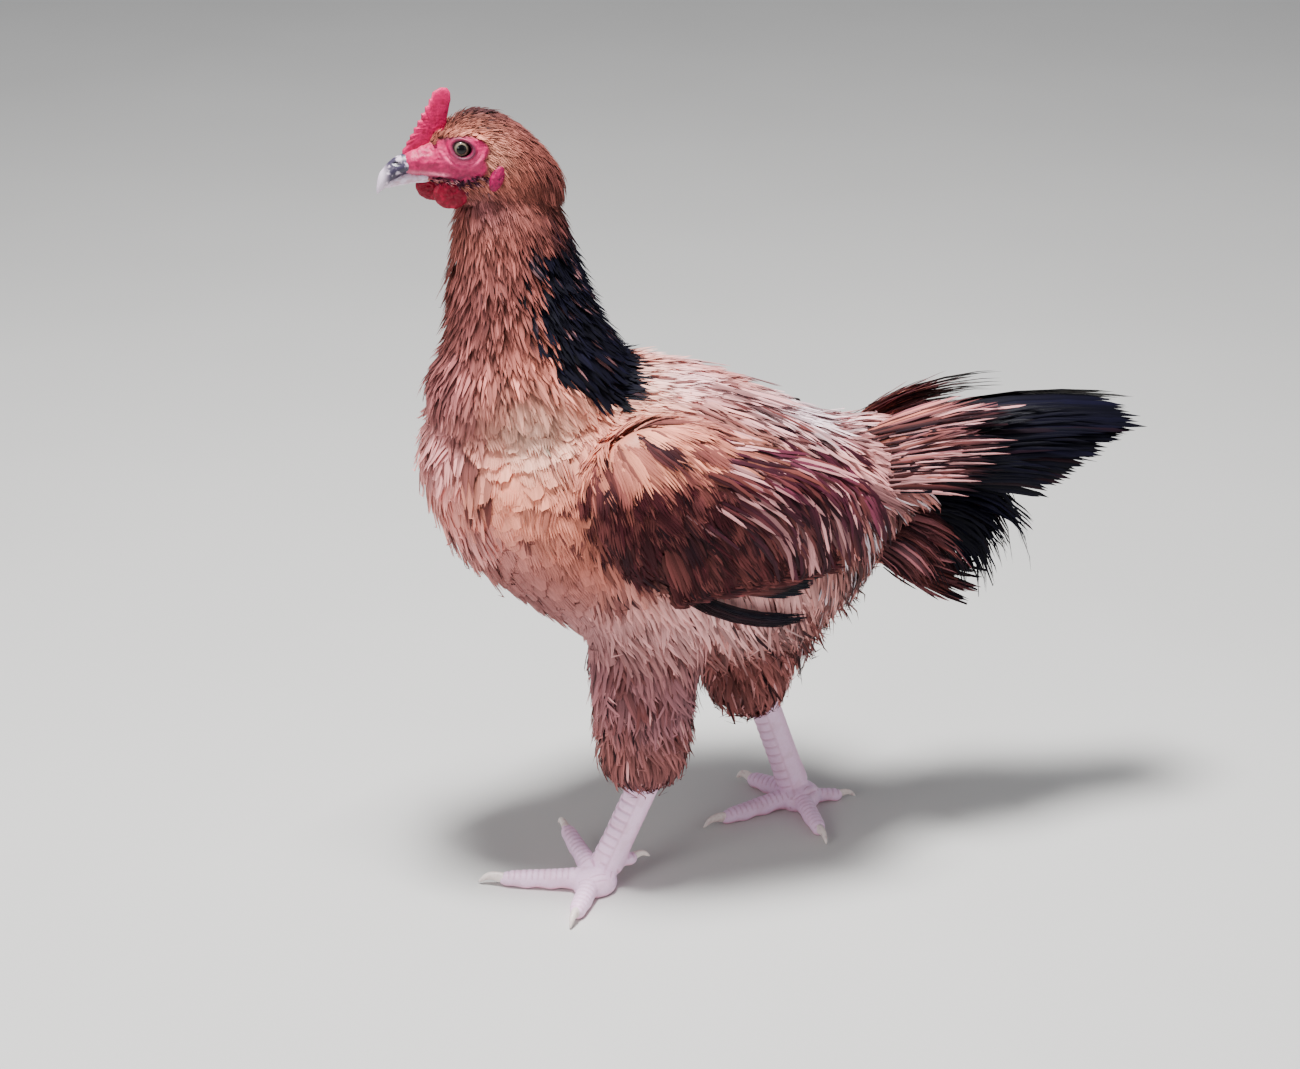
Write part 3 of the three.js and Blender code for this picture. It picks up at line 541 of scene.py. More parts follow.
def refine_face(obj):
    """Cuts the skin of the face into small squares, for lids and folds."""
    for share in (0.02, 0.3):
        wanted = face_share(places_of(obj)) > share
        obj.data.polygons.foreach_set("select", np.zeros(len(obj.data.polygons), bool))
        obj.data.vertices.foreach_set("select", wanted)
        select_only(obj)
        bpy.ops.object.mode_set(mode="EDIT")
        bpy.ops.mesh.select_mode(type="VERT")
        bpy.ops.mesh.subdivide(number_cuts=1, smoothness=0)
        bpy.ops.mesh.vertices_smooth(factor=0.5, repeat=3)
        bpy.ops.mesh.select_all(action="DESELECT")
        bpy.ops.object.mode_set(mode="OBJECT")


def settle_face(obj):
    """Brings the bare face out to the head's own outline, which fusing has softened."""
    form = head_loft("face_form", HEAD, FACE_DEPTH, 40, 48)
    tree = BVHTree.FromPolygons(places_of(form).tolist(), [tuple(p.vertices) for p in form.data.polygons])
    bpy.data.objects.remove(form)
    points = places_of(obj)
    share = face_share(points)
    for i in np.flatnonzero(share > 0.01):
        place = np.array(tree.find_nearest(points[i].tolist())[0])
        points[i] += (place - points[i]) * share[i]
    set_places(obj, points)


def gape_fold(local):
    """The height over the fold that runs back from the corner of the beak."""
    return local[:, 2] + 2.6 + 0.1 * (local[:, 0] + 41)


def sculpt_face(obj):
    """Raises lids, brow, folds and gape out of the bare face and opens the eye."""
    points = places_of(obj)
    normals = normals_of(obj)
    share = face_share(points)
    near = share > 0.001
    local = in_head(points[near])
    away, dx, dz = round_eye(points[near])
    below = ease(0, 3, -dz)
    # The rim of the lids, a groove round it and two bags below it.
    out = (1.9 + 0.3 * ease(0, 4, dz)) * bump(away - LIDS["rim"] - 0.3, LIDS["thick"] + 0.5)
    out -= 0.4 * bump(away - 6.3, 0.6) + 0.4 * below * bump(away - 7.8, 0.6)
    out += 0.35 * below * bump(away - 7.0, 0.6) + 0.45 * below * bump(away - 9.0, 0.9)
    # The brow.
    out += 1.0 * bump(away - 7.0, 1.6) * ease(1, 5, dz)
    # The gape, with a lip on both sides.
    fold = gape_fold(local)
    ahead = 1 - ease(-35, -30, local[:, 0])
    out -= 1.0 * bump(fold, 0.6) * ahead
    out += 0.7 * (bump(fold - 1.6, 1.0) + bump(fold + 1.6, 1.0)) * ahead * ease(-56, -50, local[:, 0])
    # Fine and coarse wrinkles.
    out += 0.3 * grain(local, 1.5) * share[near] * ease(5.6, 7, away)
    out += 0.5 * grain(local, 5) * share[near] * ease(6, 9, away)
    # The socket behind the lids.
    opening = LIDS["opening"]
    out -= 7 * (1 - ease(opening - 0.5, opening + 0.15, away)) * (np.abs(local[:, 1]) > 5)
    points[near] += normals[near] * out[:, None]
    set_places(obj, points)


skin = make_skin()
refine_face(skin)
settle_face(skin)
sculpt_face(skin)


# How many roots are tried on each square of a spacing.
CROWD = 6


class Surface:
    """A surface to plant feathers on: its nearest places and smooth normals."""

    def __init__(self, points, faces):
        self.points, self.faces = points, faces
        corners = points[faces]
        flat = np.cross(corners[:, 1] - corners[:, 0], corners[:, 2] - corners[:, 0])
        at_points = np.zeros_like(points)
        for k in range(3):
            np.add.at(at_points, faces[:, k], flat)
        self.face_normals = unit(unit(at_points)[faces].sum(axis=1))
        self.area = np.linalg.norm(flat, axis=1) / 2
        self.tree = BVHTree.FromPolygons(points.tolist(), faces.tolist())

    def nearest(self, points):
        """Nearest place on the surface and the smooth normal there, for each point."""
        place = np.empty((len(points), 3))
        face = np.empty(len(points), int)
        for i, point in enumerate(points.tolist()):
            found, _, index, _ = self.tree.find_nearest(point)
            place[i] = found
            face[i] = index
        return place, self.face_normals[face]

    def scatter(self, inside, spacing):
        """Evenly spread roots where inside(points) is true, at least a spacing apart."""
        corners = self.points[self.faces]
        wanted = inside(corners.mean(axis=1))
        corners, area = corners[wanted], self.area[wanted]
        count = int(CROWD * area.sum() / spacing**2)
        pick = rng.choice(len(corners), count, p=area / area.sum())
        a, b = rng.random((2, count))
        flip = a + b > 1
        a[flip], b[flip] = 1 - a[flip], 1 - b[flip]
        first, second, third = corners[pick].transpose(1, 0, 2)
        places = first + a[:, None] * (second - first) + b[:, None] * (third - first)
        cells, kept = {}, []
        around = [(i, j, k) for i in (-1, 0, 1) for j in (-1, 0, 1) for k in (-1, 0, 1)]
        grid = np.floor(places / spacing).astype(int).tolist()
        for n, (point, cell) in enumerate(zip(places.tolist(), grid)):
            near = (m for i, j, k in around for m in cells.get((cell[0] + i, cell[1] + j, cell[2] + k), ()))
            if all(math.dist(point, m) >= spacing for m in near):
                cells.setdefault(tuple(cell), []).append(point)
                kept.append(n)
        return places[kept]


def triangles_of(obj):
    obj.data.calc_loop_triangles()
    corners = np.empty(len(obj.data.loop_triangles) * 3, np.int32)
    obj.data.loop_triangles.foreach_get("vertices", corners)
    return corners.reshape(-1, 3)


surface = Surface(places_of(skin), triangles_of(skin))

# The curved face that the folded wing's feathers lie on, outside the wing's flesh.
WING_FACE = {"reach": 80.5, "tip": 66, "from": 12, "to": 117, "z": 226, "half": 46, "fall": 5}


def wing_face(x, z):
    f = WING_FACE
    back = np.clip((x - f["from"]) / (f["to"] - f["from"]), 0, 1)
    return f["reach"] - (f["reach"] - f["tip"]) * back**1.2 - f["fall"] * ((z - f["z"]) / f["half"]) ** 2


# The sheet that stands for that face: its span in x, the height of its lower edge over the reference
# point, its own height, how both change with each millimetre to the tail, and how far its upper part,
# from a share of its height, bends inwards.
SHEET = {"x": (-10, 112), "low": 182, "tall": 88, "rise": 0.1, "taper": 0.38, "bend": 16, "from": 0.72}


def outer_surface():
    """The skin together with the faces of the folded wings, which the plumes lie over. The wings'
    faces bend inwards along their upper edge, and lie inside the feathers by the wing's coat."""
    columns, rows = 24, 16
    x, z = np.meshgrid(np.linspace(*SHEET["x"], columns), np.linspace(0, 1, rows), indexing="ij")
    inwards = SHEET["bend"] * np.clip((z - SHEET["from"]) / (1 - SHEET["from"]), 0, 1) ** 2
    back = x - SHEET["x"][0]
    z = z * (SHEET["tall"] - SHEET["taper"] * back) + SHEET["low"] + SHEET["rise"] * back
    corner = (np.arange(columns - 1)[:, None] * rows + np.arange(rows - 1)[None, :]).ravel()
    one = np.stack((corner, corner + rows, corner + 1), 1)
    two = np.stack((corner + 1, corner + rows, corner + rows + 1), 1)
    sheet = np.concatenate((one, two))
    points, faces = [surface.points], [surface.faces]
    for side in SIDES.values():
        faces.append((sheet if side == LEFT else sheet[:, ::-1]) + sum(len(p) for p in points))
        across = side * (wing_face(x, z) - COAT["wing"] - inwards)
        points.append(np.stack((x, across, z), -1).reshape(-1, 3))
    return Surface(np.concatenate(points), np.concatenate(faces))


outer = outer_surface()


# Faces of the coarse skin that is unwrapped, and the margin that roots keep from the map's edge.
UNWRAP_FACES = 5000
MAP_EDGE = 0.002


class Unwrap:
    """A coarse copy of the skin, unwrapped, that tells where a root lies on the unwrap."""

    def __init__(self, obj):
        select_only(obj)
        bpy.ops.object.duplicate()
        copy = bpy.context.object
        copy.modifiers.new("thin", "DECIMATE").ratio = UNWRAP_FACES / len(copy.data.polygons)
        apply_all(copy)
        edit(copy, bpy.ops.mesh.quads_convert_to_tris,
             lambda: bpy.ops.uv.smart_project(angle_limit=math.radians(66), island_margin=0.004))
        mesh = copy.data
        self.points = places_of(copy)
        corners = np.empty(len(mesh.loops), np.int32)
        mesh.loops.foreach_get("vertex_index", corners)
        self.faces = corners.reshape(-1, 3)
        uv = np.empty(len(mesh.loops) * 2, np.float32)
        mesh.uv_layers.active.data.foreach_get("uv", uv)
        self.uv = uv.reshape(-1, 3, 2)
        self.tree = BVHTree.FromPolygons(self.points.tolist(), self.faces.tolist())
        bpy.data.objects.remove(copy)

    def place(self, roots):
        found = np.empty((len(roots), 2))
        for i, root in enumerate(roots.tolist()):
            spot, _, face, _ = self.tree.find_nearest(root)
            weights = poly_3d_calc([Vector(self.points[c]) for c in self.faces[face]], spot)
            found[i] = np.asarray(weights) @ self.uv[face]
        return np.clip(found, MAP_EDGE, 1 - MAP_EDGE)


unwrap = Unwrap(skin)

# ---------------------------------------------------------------- the lie of the coat

# Guides: a place on the right half of the bird, and the way the feathers point there.
LIE = [
    ((-118, 6, 410), (1, 0.5, 0.3)), ((-100, 12, 432), (1, 0.2, 0.35)), ((-85, 8, 437), (1, 0.1, -0.1)),
    ((-66, 10, 428), (0.8, 0.1, -0.6)), ((-50, 12, 405), (0.4, 0, -1)), ((-100, 20, 405), (0.8, 0.1, -0.6)),
    ((-85, 24, 410), (0.8, 0, -0.55)), ((-70, 22, 400), (0.5, 0, -0.9)), ((-98, 12, 383), (0.6, 0.2, -0.8)),
    ((-100, 0, 372), (0.25, 0, -1)), ((-44, 10, 375), (0.25, 0, -1)), ((-72, 28, 360), (0.2, 0, -1)),
    ((-110, 0, 335), (-0.05, 0, -1)), ((-118, 10, 290), (-0.12, 0.1, -1)),
    ((-78, 35, 320), (0.25, 0.05, -1)), ((-50, 33, 330), (0.4, 0.05, -0.9)),
    ((-32, 8, 335), (0.4, 0, -0.9)), ((-10, 12, 303), (0.85, 0.1, -0.45)),
    ((-90, 42, 290), (0.15, 0.05, -1)), ((-55, 48, 290), (0.45, 0.1, -0.9)),
    ((-25, 40, 290), (0.7, 0.15, -0.65)), ((-128, 0, 245), (0.0, 0.15, -1)),
    ((-112, 40, 250), (0.1, 0.05, -1)), ((-90, 56, 240), (0.25, 0, -1)),
    ((-118, 15, 200), (0.35, 0.05, -0.95)), ((-95, 40, 180), (0.65, 0, -0.75)),
    ((-80, 0, 160), (0.9, 0, -0.45)), ((-45, 30, 140), (0.9, 0, -0.4)), ((0, 0, 118), (1, 0, 0.0)),
    ((-60, 62, 220), (0.35, 0, -0.95)), ((-35, 75, 230), (0.3, 0, -0.95)), ((0, 80, 225), (0.45, 0, -0.9)),
    ((35, 78, 225), (0.5, 0, -0.85)), ((65, 70, 215), (0.5, 0, -0.85)), ((-45, 60, 265), (0.4, 0.1, -0.9)),
    ((-10, 62, 275), (0.75, 0.1, -0.6)), ((0, 20, 292), (1, 0.15, -0.1)), ((45, 20, 283), (1, 0.15, -0.35)),
    ((40, 50, 268), (0.9, 0.25, -0.45)), ((85, 10, 263), (1, 0.1, -0.15)),
    ((80, 45, 250), (0.85, 0.25, -0.5)), ((115, 0, 250), (1, 0, 0.25)), ((105, 42, 225), (0.55, 0.1, -0.8)),
    ((128, 25, 225), (0.8, 0.05, -0.5)), ((150, 0, 245), (1, 0, 0.15)), ((150, 15, 225), (1, 0.05, -0.15)),
    ((115, 45, 190), (0.2, 0, -1)), ((132, 20, 185), (0.4, 0, -0.9)), ((150, 8, 185), (0.6, 0, -0.8)),
    ((95, 50, 160), (0.2, 0, -0.95)), ((60, 60, 165), (0.35, 0, -0.9)), ((105, 20, 145), (0.35, 0, -0.95)),
    ((60, 20, 122), (0.5, 0, -0.7)), ((-15, 60, 160), (0.3, 0, -0.95)), ((-40, 45, 120), (0.1, 0, -1)),
    ((-12, 64, 110), (0.12, 0, -1)), ((-12, 60, 75), (0.15, -0.1, -1)), ((15, 45, 110), (0.1, 0, -1)),
    ((66, 62, 120), (0.2, 0, -1)), ((90, 45, 110), (0.05, 0, -1)), ((35, 30, 100), (0.3, 0, -1)),
    ((65, 50, 80), (0.1, -0.1, -1)),
]
# Guides of the long plumes, which sweep back over the folded wing and bend down behind it.
SWEEP = [
    ((0, 50, 280), (1, 0.3, -0.15)), ((30, 50, 272), (1, 0.3, -0.2)), ((35, 70, 256), (0.95, 0.15, -0.4)),
    ((10, 78, 244), (0.9, 0, -0.45)), ((60, 62, 254), (0.95, 0.15, -0.5)), ((80, 66, 237), (0.7, 0, -0.75)),
    ((92, 66, 216), (0.25, 0, -1)), ((90, 65, 195), (-0.05, 0, -1)), ((60, 45, 266), (1, 0.35, -0.3)),
    ((85, 45, 252), (0.8, 0.35, -0.6)), ((45, 78, 232), (0.8, 0, -0.6)), ((70, 74, 216), (0.4, 0, -0.95)),
]


# Guides on the head reach less far than those on the body.
HEAD_LEVEL, HEAD_REACH, BODY_REACH = 378, 8.0, 16.0


def guide_arrays(guides):
    places = np.array([place for place, _ in guides], float)
    ways = unit(np.array([way for _, way in guides], float))
    return places, ways, np.where(places[:, 2] > HEAD_LEVEL, HEAD_REACH, BODY_REACH)


LIE_GUIDES = guide_arrays(LIE)
SWEEP_GUIDES = guide_arrays(SWEEP)


def lie(points, guides):
    """The way the coat points at places on the bird, the same on both sides."""
    places, ways, reach = guides
    away = ((mirrored(points)[:, None, :] - places[None]) ** 2).sum(axis=2) / (2 * reach**2)
    weight = np.exp(away.min(axis=1, keepdims=True) - away)
    way = (weight[:, :, None] * ways[None]).sum(axis=1)
    way[:, 1] *= np.where(points[:, 1] < 0, -1, 1)
    return unit(way)


# Steps along a feather's spine, and the step at which its colour is read: where it shows from under
# the others.
STEPS = 8
SEEN_STEP = 6


def trace(over, roots, lengths, guides, stray):
    """Follows the lie over a surface from each root: places and normals at even steps."""
    place, normal = over.nearest(roots)
    wander = rng.normal(0, 1, (len(roots), 3)) * stray
    places, normals = [place], [normal]
    for _ in range(STEPS):
        way = lie(place, guides) + wander
        way = unit(way - dot(way, normal) * normal)
        place, normal = over.nearest(place + way * (lengths / STEPS)[:, None])
        places.append(place)
        normals.append(normal)
    return np.stack(places, 1), np.stack(normals, 1)


# ---------------------------------------------------------------- feathers


class Fan:
    """How a feather divides into strands: how many, where the outer ones start, how round its end
    is, how much they overlap, their outline, how much they close up and where they all start."""

    def __init__(self, count, start, rounding, overlap, outline, close, first=0.0):
        self.across = np.linspace(-1, 1, count)
        self.start, self.rounding, self.overlap, self.close = start, rounding, overlap, close
        self.first = first
        self.t, self.profile = np.transpose(outline)


LONG_STRAND = [(0, 0.6), (0.3, 1), (0.6, 0.95), (0.85, 0.6), (1, 0)]
SHORT_STRAND = [(0, 0.6), (0.45, 1), (0.8, 0.6), (1, 0)]
TUFT_STRAND = [(0, 0.9), (0.6, 0.7), (1, 0)]
BROAD_STRAND = [(0, 0.3), (0.2, 0.9), (0.45, 1), (0.7, 1), (0.9, 0.8), (1, 0)]
FANS = {
    "fringe": Fan(11, 0, 0.22, 1.3, TUFT_STRAND, 0.05, 0.64),
    "shag": Fan(7, 0.25, 0.2, 1.4, LONG_STRAND, 0.0),
    "soft": Fan(6, 0.3, 0.2, 1.25, LONG_STRAND, 0.1),
    "lance": Fan(3, 0.1, 0.15, 1.4, LONG_STRAND, 0.5),
    "plume": Fan(4, 0.1, 0.15, 1.5, BROAD_STRAND, 0.45),
    "head": Fan(3, 0.1, 0.1, 1.4, SHORT_STRAND, 0.2),
    "tail": Fan(10, 0.2, 0.1, 1.7, BROAD_STRAND, 0.0),
}
# The columns of a whole vane, the shares of the way of its rows, and the notches in its end.
COLUMNS = np.linspace(-1, 1, 7)
ROWS = np.array((0, 0.35, 0.65, 0.87, 1))
NOTCHES = np.array((0, 1, 0, 0.6, 0, 1, 0))


def along(values, s):
    """Values at even steps along each feather, read at each strand's own shares of the way."""
    at = np.clip(s * (values.shape[1] - 1), 0, values.shape[1] - 1 - 1e-6)
    i = at.astype(int)
    t = (at - i)[:, :, None]
    rows = np.arange(len(values))[:, None]
    return values[rows, i] * (1 - t) + values[rows, i + 1] * t


def lift_of(s, rise, curve, owner, swell):
    """The height over the surface along each strand, a little different on each feather."""
    own = swell * np.exp(rng.normal(0, 0.12, len(swell)))
    return (rise[0] + (rise[1] - rise[0]) * s**curve) * own[owner][:, None]


def root_shade(s, deep):
    """Painted shade: feathers are darker towards their roots, where the next ones cover them."""
    return (1 - deep + deep * ease(0.05, 0.7, s))[:, :, None]


def some(count, share, low, high=1.0):
    """How much each feather takes of a second colour: a share of them some of it, the others none."""
    return (rng.random((count, 1)) < share) * rng.uniform(low, high, (count, 1))


def strand_feathers(name, fan, spine, normals, width, rise, tints, swell=None, loose=0.1, curl=0.0,
                    camber=0.1, curve=1.0, grizzle=0.14, deep=0.5, streaks=()):
    """One joined mesh of feathers whose vanes are split into strands. rise is the height over the
    surface at root and tip, times each feather's swell; tints are the colours of each feather's
    middle, edge and tip; grizzle is how much the strands differ in depth, deep how dark the painted
    shade at their roots is, and streaks are shares of them in other colours."""
    count, strands = len(spine), len(fan.across)
    owner = np.repeat(np.arange(count), strands)
    f = np.tile(fan.across, count)
    total = len(f)
    start = fan.first + fan.start * np.abs(f) + 0.05 * rng.random(total)
    end = (1 - fan.rounding * f**2) * (1 + loose * rng.normal(0, 0.6, total))
    end = np.maximum(end, start + 0.12)
    f = f + loose * rng.normal(0, 1.5 / strands, total)
    s = start[:, None] + (end - start)[:, None] * fan.t[None]
    reach = np.minimum(s, 1)
    centre = along(spine[owner], reach)
    up = unit(along(normals[owner], reach))
    way = unit(np.gradient(centre, axis=1))
    side = unit(np.cross(up, way))
    centre = centre + way * ((s - reach) * 20)[:, :, None]
    half = width[owner] / 2
    spread = ease(-0.15, 0.5, s) * (1 - fan.close * ease(0.5, 1.1, s))
    sway = curl * rng.normal(0, 1, total)[:, None] * s**2
    swell = np.ones(count) if swell is None else swell
    lift = lift_of(s, rise, curve, owner, swell) + loose * rng.normal(0, 1.5, total)[:, None] * s**2
    lift = np.maximum(lift - camber * half[:, None] * (f**2)[:, None], 0.2)
    centre = centre + side * (half[:, None] * f[:, None] * spread + sway)[:, :, None] + up * lift[:, :, None]
    way = unit(np.gradient(centre, axis=1))
    side = unit(np.cross(up, way))
    narrow = (half / strands * fan.overlap * np.exp(rng.normal(0, 0.12, total)))[:, None] * fan.profile
    left = centre - side * narrow[:, :, None]
    right = centre + side * narrow[:, :, None]
    ridge = centre + up * (0.12 + 0.22 * narrow)[:, :, None]
    rows = len(fan.t) - 1
    sections = np.stack((left, ridge, right), 2)[:, :-1].reshape(total, -1, 3)
    verts = np.concatenate((sections, centre[:, -1:]), 1)
    middle, edge, tip = (c[owner] for c in tints)
    edging = (np.abs(f) ** 1.3)[:, None]
    base = middle * (1 - edging) + edge * edging
    own = np.exp(rng.normal(0, grizzle, total))[:, None]
    base, tip = base * own, tip * own
    for share, colour in streaks:
        part = some(total, share, 0.35)
        base, tip = blend(base, colour, part), blend(tip, colour, part)
    toward = ease(0.55, 1.0, s)[:, :, None]
    shade = (base[:, None] * (1 - toward) + tip[:, None] * toward) * root_shade(s, deep)
    shade = np.concatenate((np.repeat(shade[:, :-1], 3, axis=1), shade[:, -1:]), 1)
    u = np.tile(np.append(np.tile((0.0, 0.5, 1.0), rows), 0.5), (total, 1))
    v = np.concatenate((np.repeat(s[:, :-1], 3, axis=1), s[:, -1:]), 1)
    k = np.arange(rows - 1)[:, None] * 3
    quads = np.concatenate((k + (0, 1, 4, 3), k + (1, 2, 5, 4), k + (2, 0, 3, 5)))
    last = (rows - 1) * 3
    left, ridge, right, point = last + np.arange(4)
    tris = np.array(((0, 2, 1), (left, ridge, point), (ridge, right, point), (right, left, point)))
    return joined_mesh(name, verts, quads, tris, shade, np.stack((u, v), 2), spine[owner, 0])


# How far a vane is domed and narrows at its end, how dark the painted shade at its root is, and how much its
# columns differ.
VANE_CAMBER, VANE_CLOSE, VANE_DEEP, VANE_GRIZZLE = 0.25, 0.1, 0.3, 0.08


def vane_feathers(name, spine, normals, width, rise, tints, swell, rounding, fray):
    """One joined mesh of whole vanes: domed above, closed below, rounded and notched at the end."""
    count, columns = len(spine), len(COLUMNS)
    owner = np.repeat(np.arange(count), columns)
    f = np.tile(COLUMNS, count)
    end = 1 - rounding * np.abs(f) ** 2.5 - fray * (rng.random(len(f)) + np.tile(NOTCHES, count))
    s = ROWS[None] * end[:, None]
    centre = along(spine[owner], s)
    up = unit(along(normals[owner], s))
    side = unit(np.cross(up, unit(np.gradient(centre, axis=1))))
    half = width[owner][:, None] / 2
    across = half * f[:, None] * (0.3 + 0.7 * ease(0, 0.5, s)) * (1 - VANE_CLOSE * ease(0.6, 1.1, s))
    lift = lift_of(s, rise, 1.0, owner, swell) - VANE_CAMBER * half * (f**2)[:, None] * ease(0, 0.4, s)
    verts = centre + side * across[:, :, None] + up * np.maximum(lift, 0.15)[:, :, None]
    middle, edge, tip = (c[owner] for c in tints)
    base = blend(middle, edge, np.abs(f) ** 1.5) * np.exp(rng.normal(0, VANE_GRIZZLE, len(f)))[:, None]
    toward = ease(0.6, 1.0, s)[:, :, None]
    shade = (base[:, None] * (1 - toward) + tip[:, None] * toward) * root_shade(s, VANE_DEEP)
    vane = np.stack(((f[:, None] + 1) / 2 + 0 * s, s), 2)
    rows = len(ROWS)
    i = (np.arange(columns - 1)[:, None] * rows + np.arange(rows - 1)[None]).reshape(-1, 1)
    j, far = np.arange(rows - 1)[:, None], (columns - 1) * rows
    quads = np.concatenate((i + (0, 1, rows + 1, rows), j + (0, far, far + 1, 1)))
    k = np.arange(1, columns - 1)[:, None] * rows
    tris = np.concatenate((k * (0, 1, 1) + (0, 0, rows), k * (0, 1, 1) + (0, rows, 0) + rows - 1))
    per = columns * rows
    return joined_mesh(name, verts.reshape(count, per, 3), quads, tris, shade.reshape(count, per, 3),
                       vane.reshape(count, per, 2), spine[:, 0])


# The width of each shape's own patch on the bake map.
BAKE_PATCH = 0.003


def joined_mesh(name, verts, quads, tris, shade, vane, roots):
    """One mesh of many alike closed shapes, with their colours, their own maps and bake patches."""
    count, per = verts.shape[:2]
    first = (np.arange(count) * per)[:, None, None]
    quad_corners = (quads[None] + first).reshape(-1, 4)
    tri_corners = (tris[None] + first).reshape(-1, 3)
    mesh = bpy.data.meshes.new(name)
    mesh.vertices.add(count * per)
    mesh.vertices.foreach_set("co", to_row(verts.reshape(-1, 3)).astype(np.float32).ravel())
    loops = np.concatenate((quad_corners.ravel(), tri_corners.ravel())).astype(np.int32)
    sizes = np.concatenate((np.full(len(quad_corners), 4), np.full(len(tri_corners), 3)))
    mesh.loops.add(len(loops))
    mesh.loops.foreach_set("vertex_index", loops)
    mesh.polygons.add(len(sizes))
    mesh.polygons.foreach_set("loop_start", np.concatenate(((0,), np.cumsum(sizes)[:-1])).astype(np.int32))
    mesh.update(calc_edges=True)
    mesh.validate()
    obj = bpy.data.objects.new(name, mesh)
    bpy.context.scene.collection.objects.link(obj)
    shade = shade.reshape(-1, 3)
    paint(obj, shade / np.maximum(shade.max(axis=1, keepdims=True), 1))
    patch = unwrap.place(roots)[:, None] + BAKE_PATCH * (vane - 0.5)
    for layer, places in (("Vane", vane), ("OFBake", patch)):
        uv = mesh.uv_layers.new(name=layer)
        uv.data.foreach_set("uv", places.reshape(-1, 2)[loops].astype(np.float32).ravel())
    return obj


def vary(colour, amount):
    """Feathers differ in depth of colour."""
    return np.clip(colour * np.exp(rng.normal(0, amount, (len(colour), 1))), 0, 1)


def streak(colour, share, dark, low=0.4, high=1.0):
    """A share of the feathers takes a second colour."""
    return blend(colour, dark, some(len(colour), share, low, high))


# ---------------------------------------------------------------- materials


def feed(tree, socket, value):
    """Sets a socket to a plain value, or links another socket to it."""
    if isinstance(value, bpy.types.NodeSocket):
        tree.links.new(value, socket)
    else:
        socket.default_value = value


def add_node(tree, kind, inputs, **settings):
    """A shader node with its settings and inputs. Gives its outputs."""
    node = tree.nodes.new("ShaderNode" + kind)
    for setting, value in settings.items():
        setattr(node, setting, value)
    for socket, value in inputs.items():
        feed(tree, node.inputs[socket], value)
    return node.outputs


def maths(tree, operation, *values):
    return add_node(tree, "Math", dict(enumerate(values)), operation=operation)[0]


def noise_wave(tree, place, scale, detail):
    """Noise to both sides of zero."""
    waves = add_node(tree, "TexNoise", {"Vector": place, "Scale": scale, "Detail": detail})
    return maths(tree, "SUBTRACT", waves["Fac"], 0.5)


def shade_by(tree, wave, depth):
    return maths(tree, "ADD", maths(tree, "MULTIPLY", wave, depth), 1.0)


BARB_SLANT = 0.3
BARB_SPREAD = (60, 60, 60)


def barb_group():
    """Fine barb lines on a vane: a shade and a height from its own map. Lines run from the shaft
    outwards at a slant, or along the strand."""
    group = bpy.data.node_groups.new("barb lines", "ShaderNodeTree")
    for name, value in (("Slanted", 40), ("Lengthwise", 2), ("Depth", 0.3)):
        socket = group.interface.new_socket(name, in_out="INPUT", socket_type="NodeSocketFloat")
        socket.default_value = value
    for name in ("Shade", "Height"):
        group.interface.new_socket(name, in_out="OUTPUT", socket_type="NodeSocketFloat")
    given = group.nodes.new("NodeGroupInput").outputs
    result = group.nodes.new("NodeGroupOutput").inputs
    vane = add_node(group, "UVMap", {}, uv_map="Vane")["UV"]
    x, y, _ = add_node(group, "SeparateXYZ", {0: vane})
    side = maths(group, "ABSOLUTE", maths(group, "SUBTRACT", x, 0.5))
    barb = maths(group, "SUBTRACT", y, maths(group, "MULTIPLY", side, BARB_SLANT))
    slanted = maths(group, "MULTIPLY", barb, given["Slanted"])
    lengthwise = maths(group, "MULTIPLY", x, given["Lengthwise"])
    line = add_node(group, "CombineXYZ", {0: slanted, 1: lengthwise})[0]
    place = add_node(group, "TexCoord", {})["Object"]
    spread = add_node(group, "VectorMath", {0: place, 1: BARB_SPREAD, 2: line}, operation="MULTIPLY_ADD")[0]
    wave = noise_wave(group, spread, 1.0, 3.0)
    feed(group, result["Shade"], shade_by(group, wave, given["Depth"]))
    feed(group, result["Height"], wave)
    return group


barbs = barb_group()


def new_material(name, roughness, **sockets):
    material = bpy.data.materials.new(name)
    material.use_nodes = True
    shader = material.node_tree.nodes["Principled BSDF"]
    shader.inputs["Roughness"].default_value = roughness
    for socket, value in sockets.items():
        shader.inputs[socket.replace("_", " ")].default_value = value
    return material, material.node_tree, shader


def colour_and_relief(tree, shader, shade, height, strength, distance):
    """The mesh's own colours times a shade, and a relief of a height in millimetres."""
    colour = add_node(tree, "Attribute", {}, attribute_name="Plume")["Color"]
    tinted = add_node(tree, "VectorMath", {0: colour, "Scale": shade}, operation="SCALE")[0]
    relief = add_node(tree, "Bump", {"Strength": strength, "Distance": distance * MM, "Height": height})[0]
    feed(tree, shader.inputs["Base Color"], tinted)
    feed(tree, shader.inputs["Normal"], relief)


def feather_material(name, roughness, slanted, lengthwise, depth, strength, **sockets):
    """Vanes coloured feather by feather, with barb lines on them."""
    material, tree, shader = new_material(name, roughness, **sockets)
    values = {"Slanted": slanted, "Lengthwise": lengthwise, "Depth": depth}
    pattern = add_node(tree, "Group", values, node_tree=barbs)
    colour_and_relief(tree, shader, pattern["Shade"], pattern["Height"], strength, 0.25)
    return material


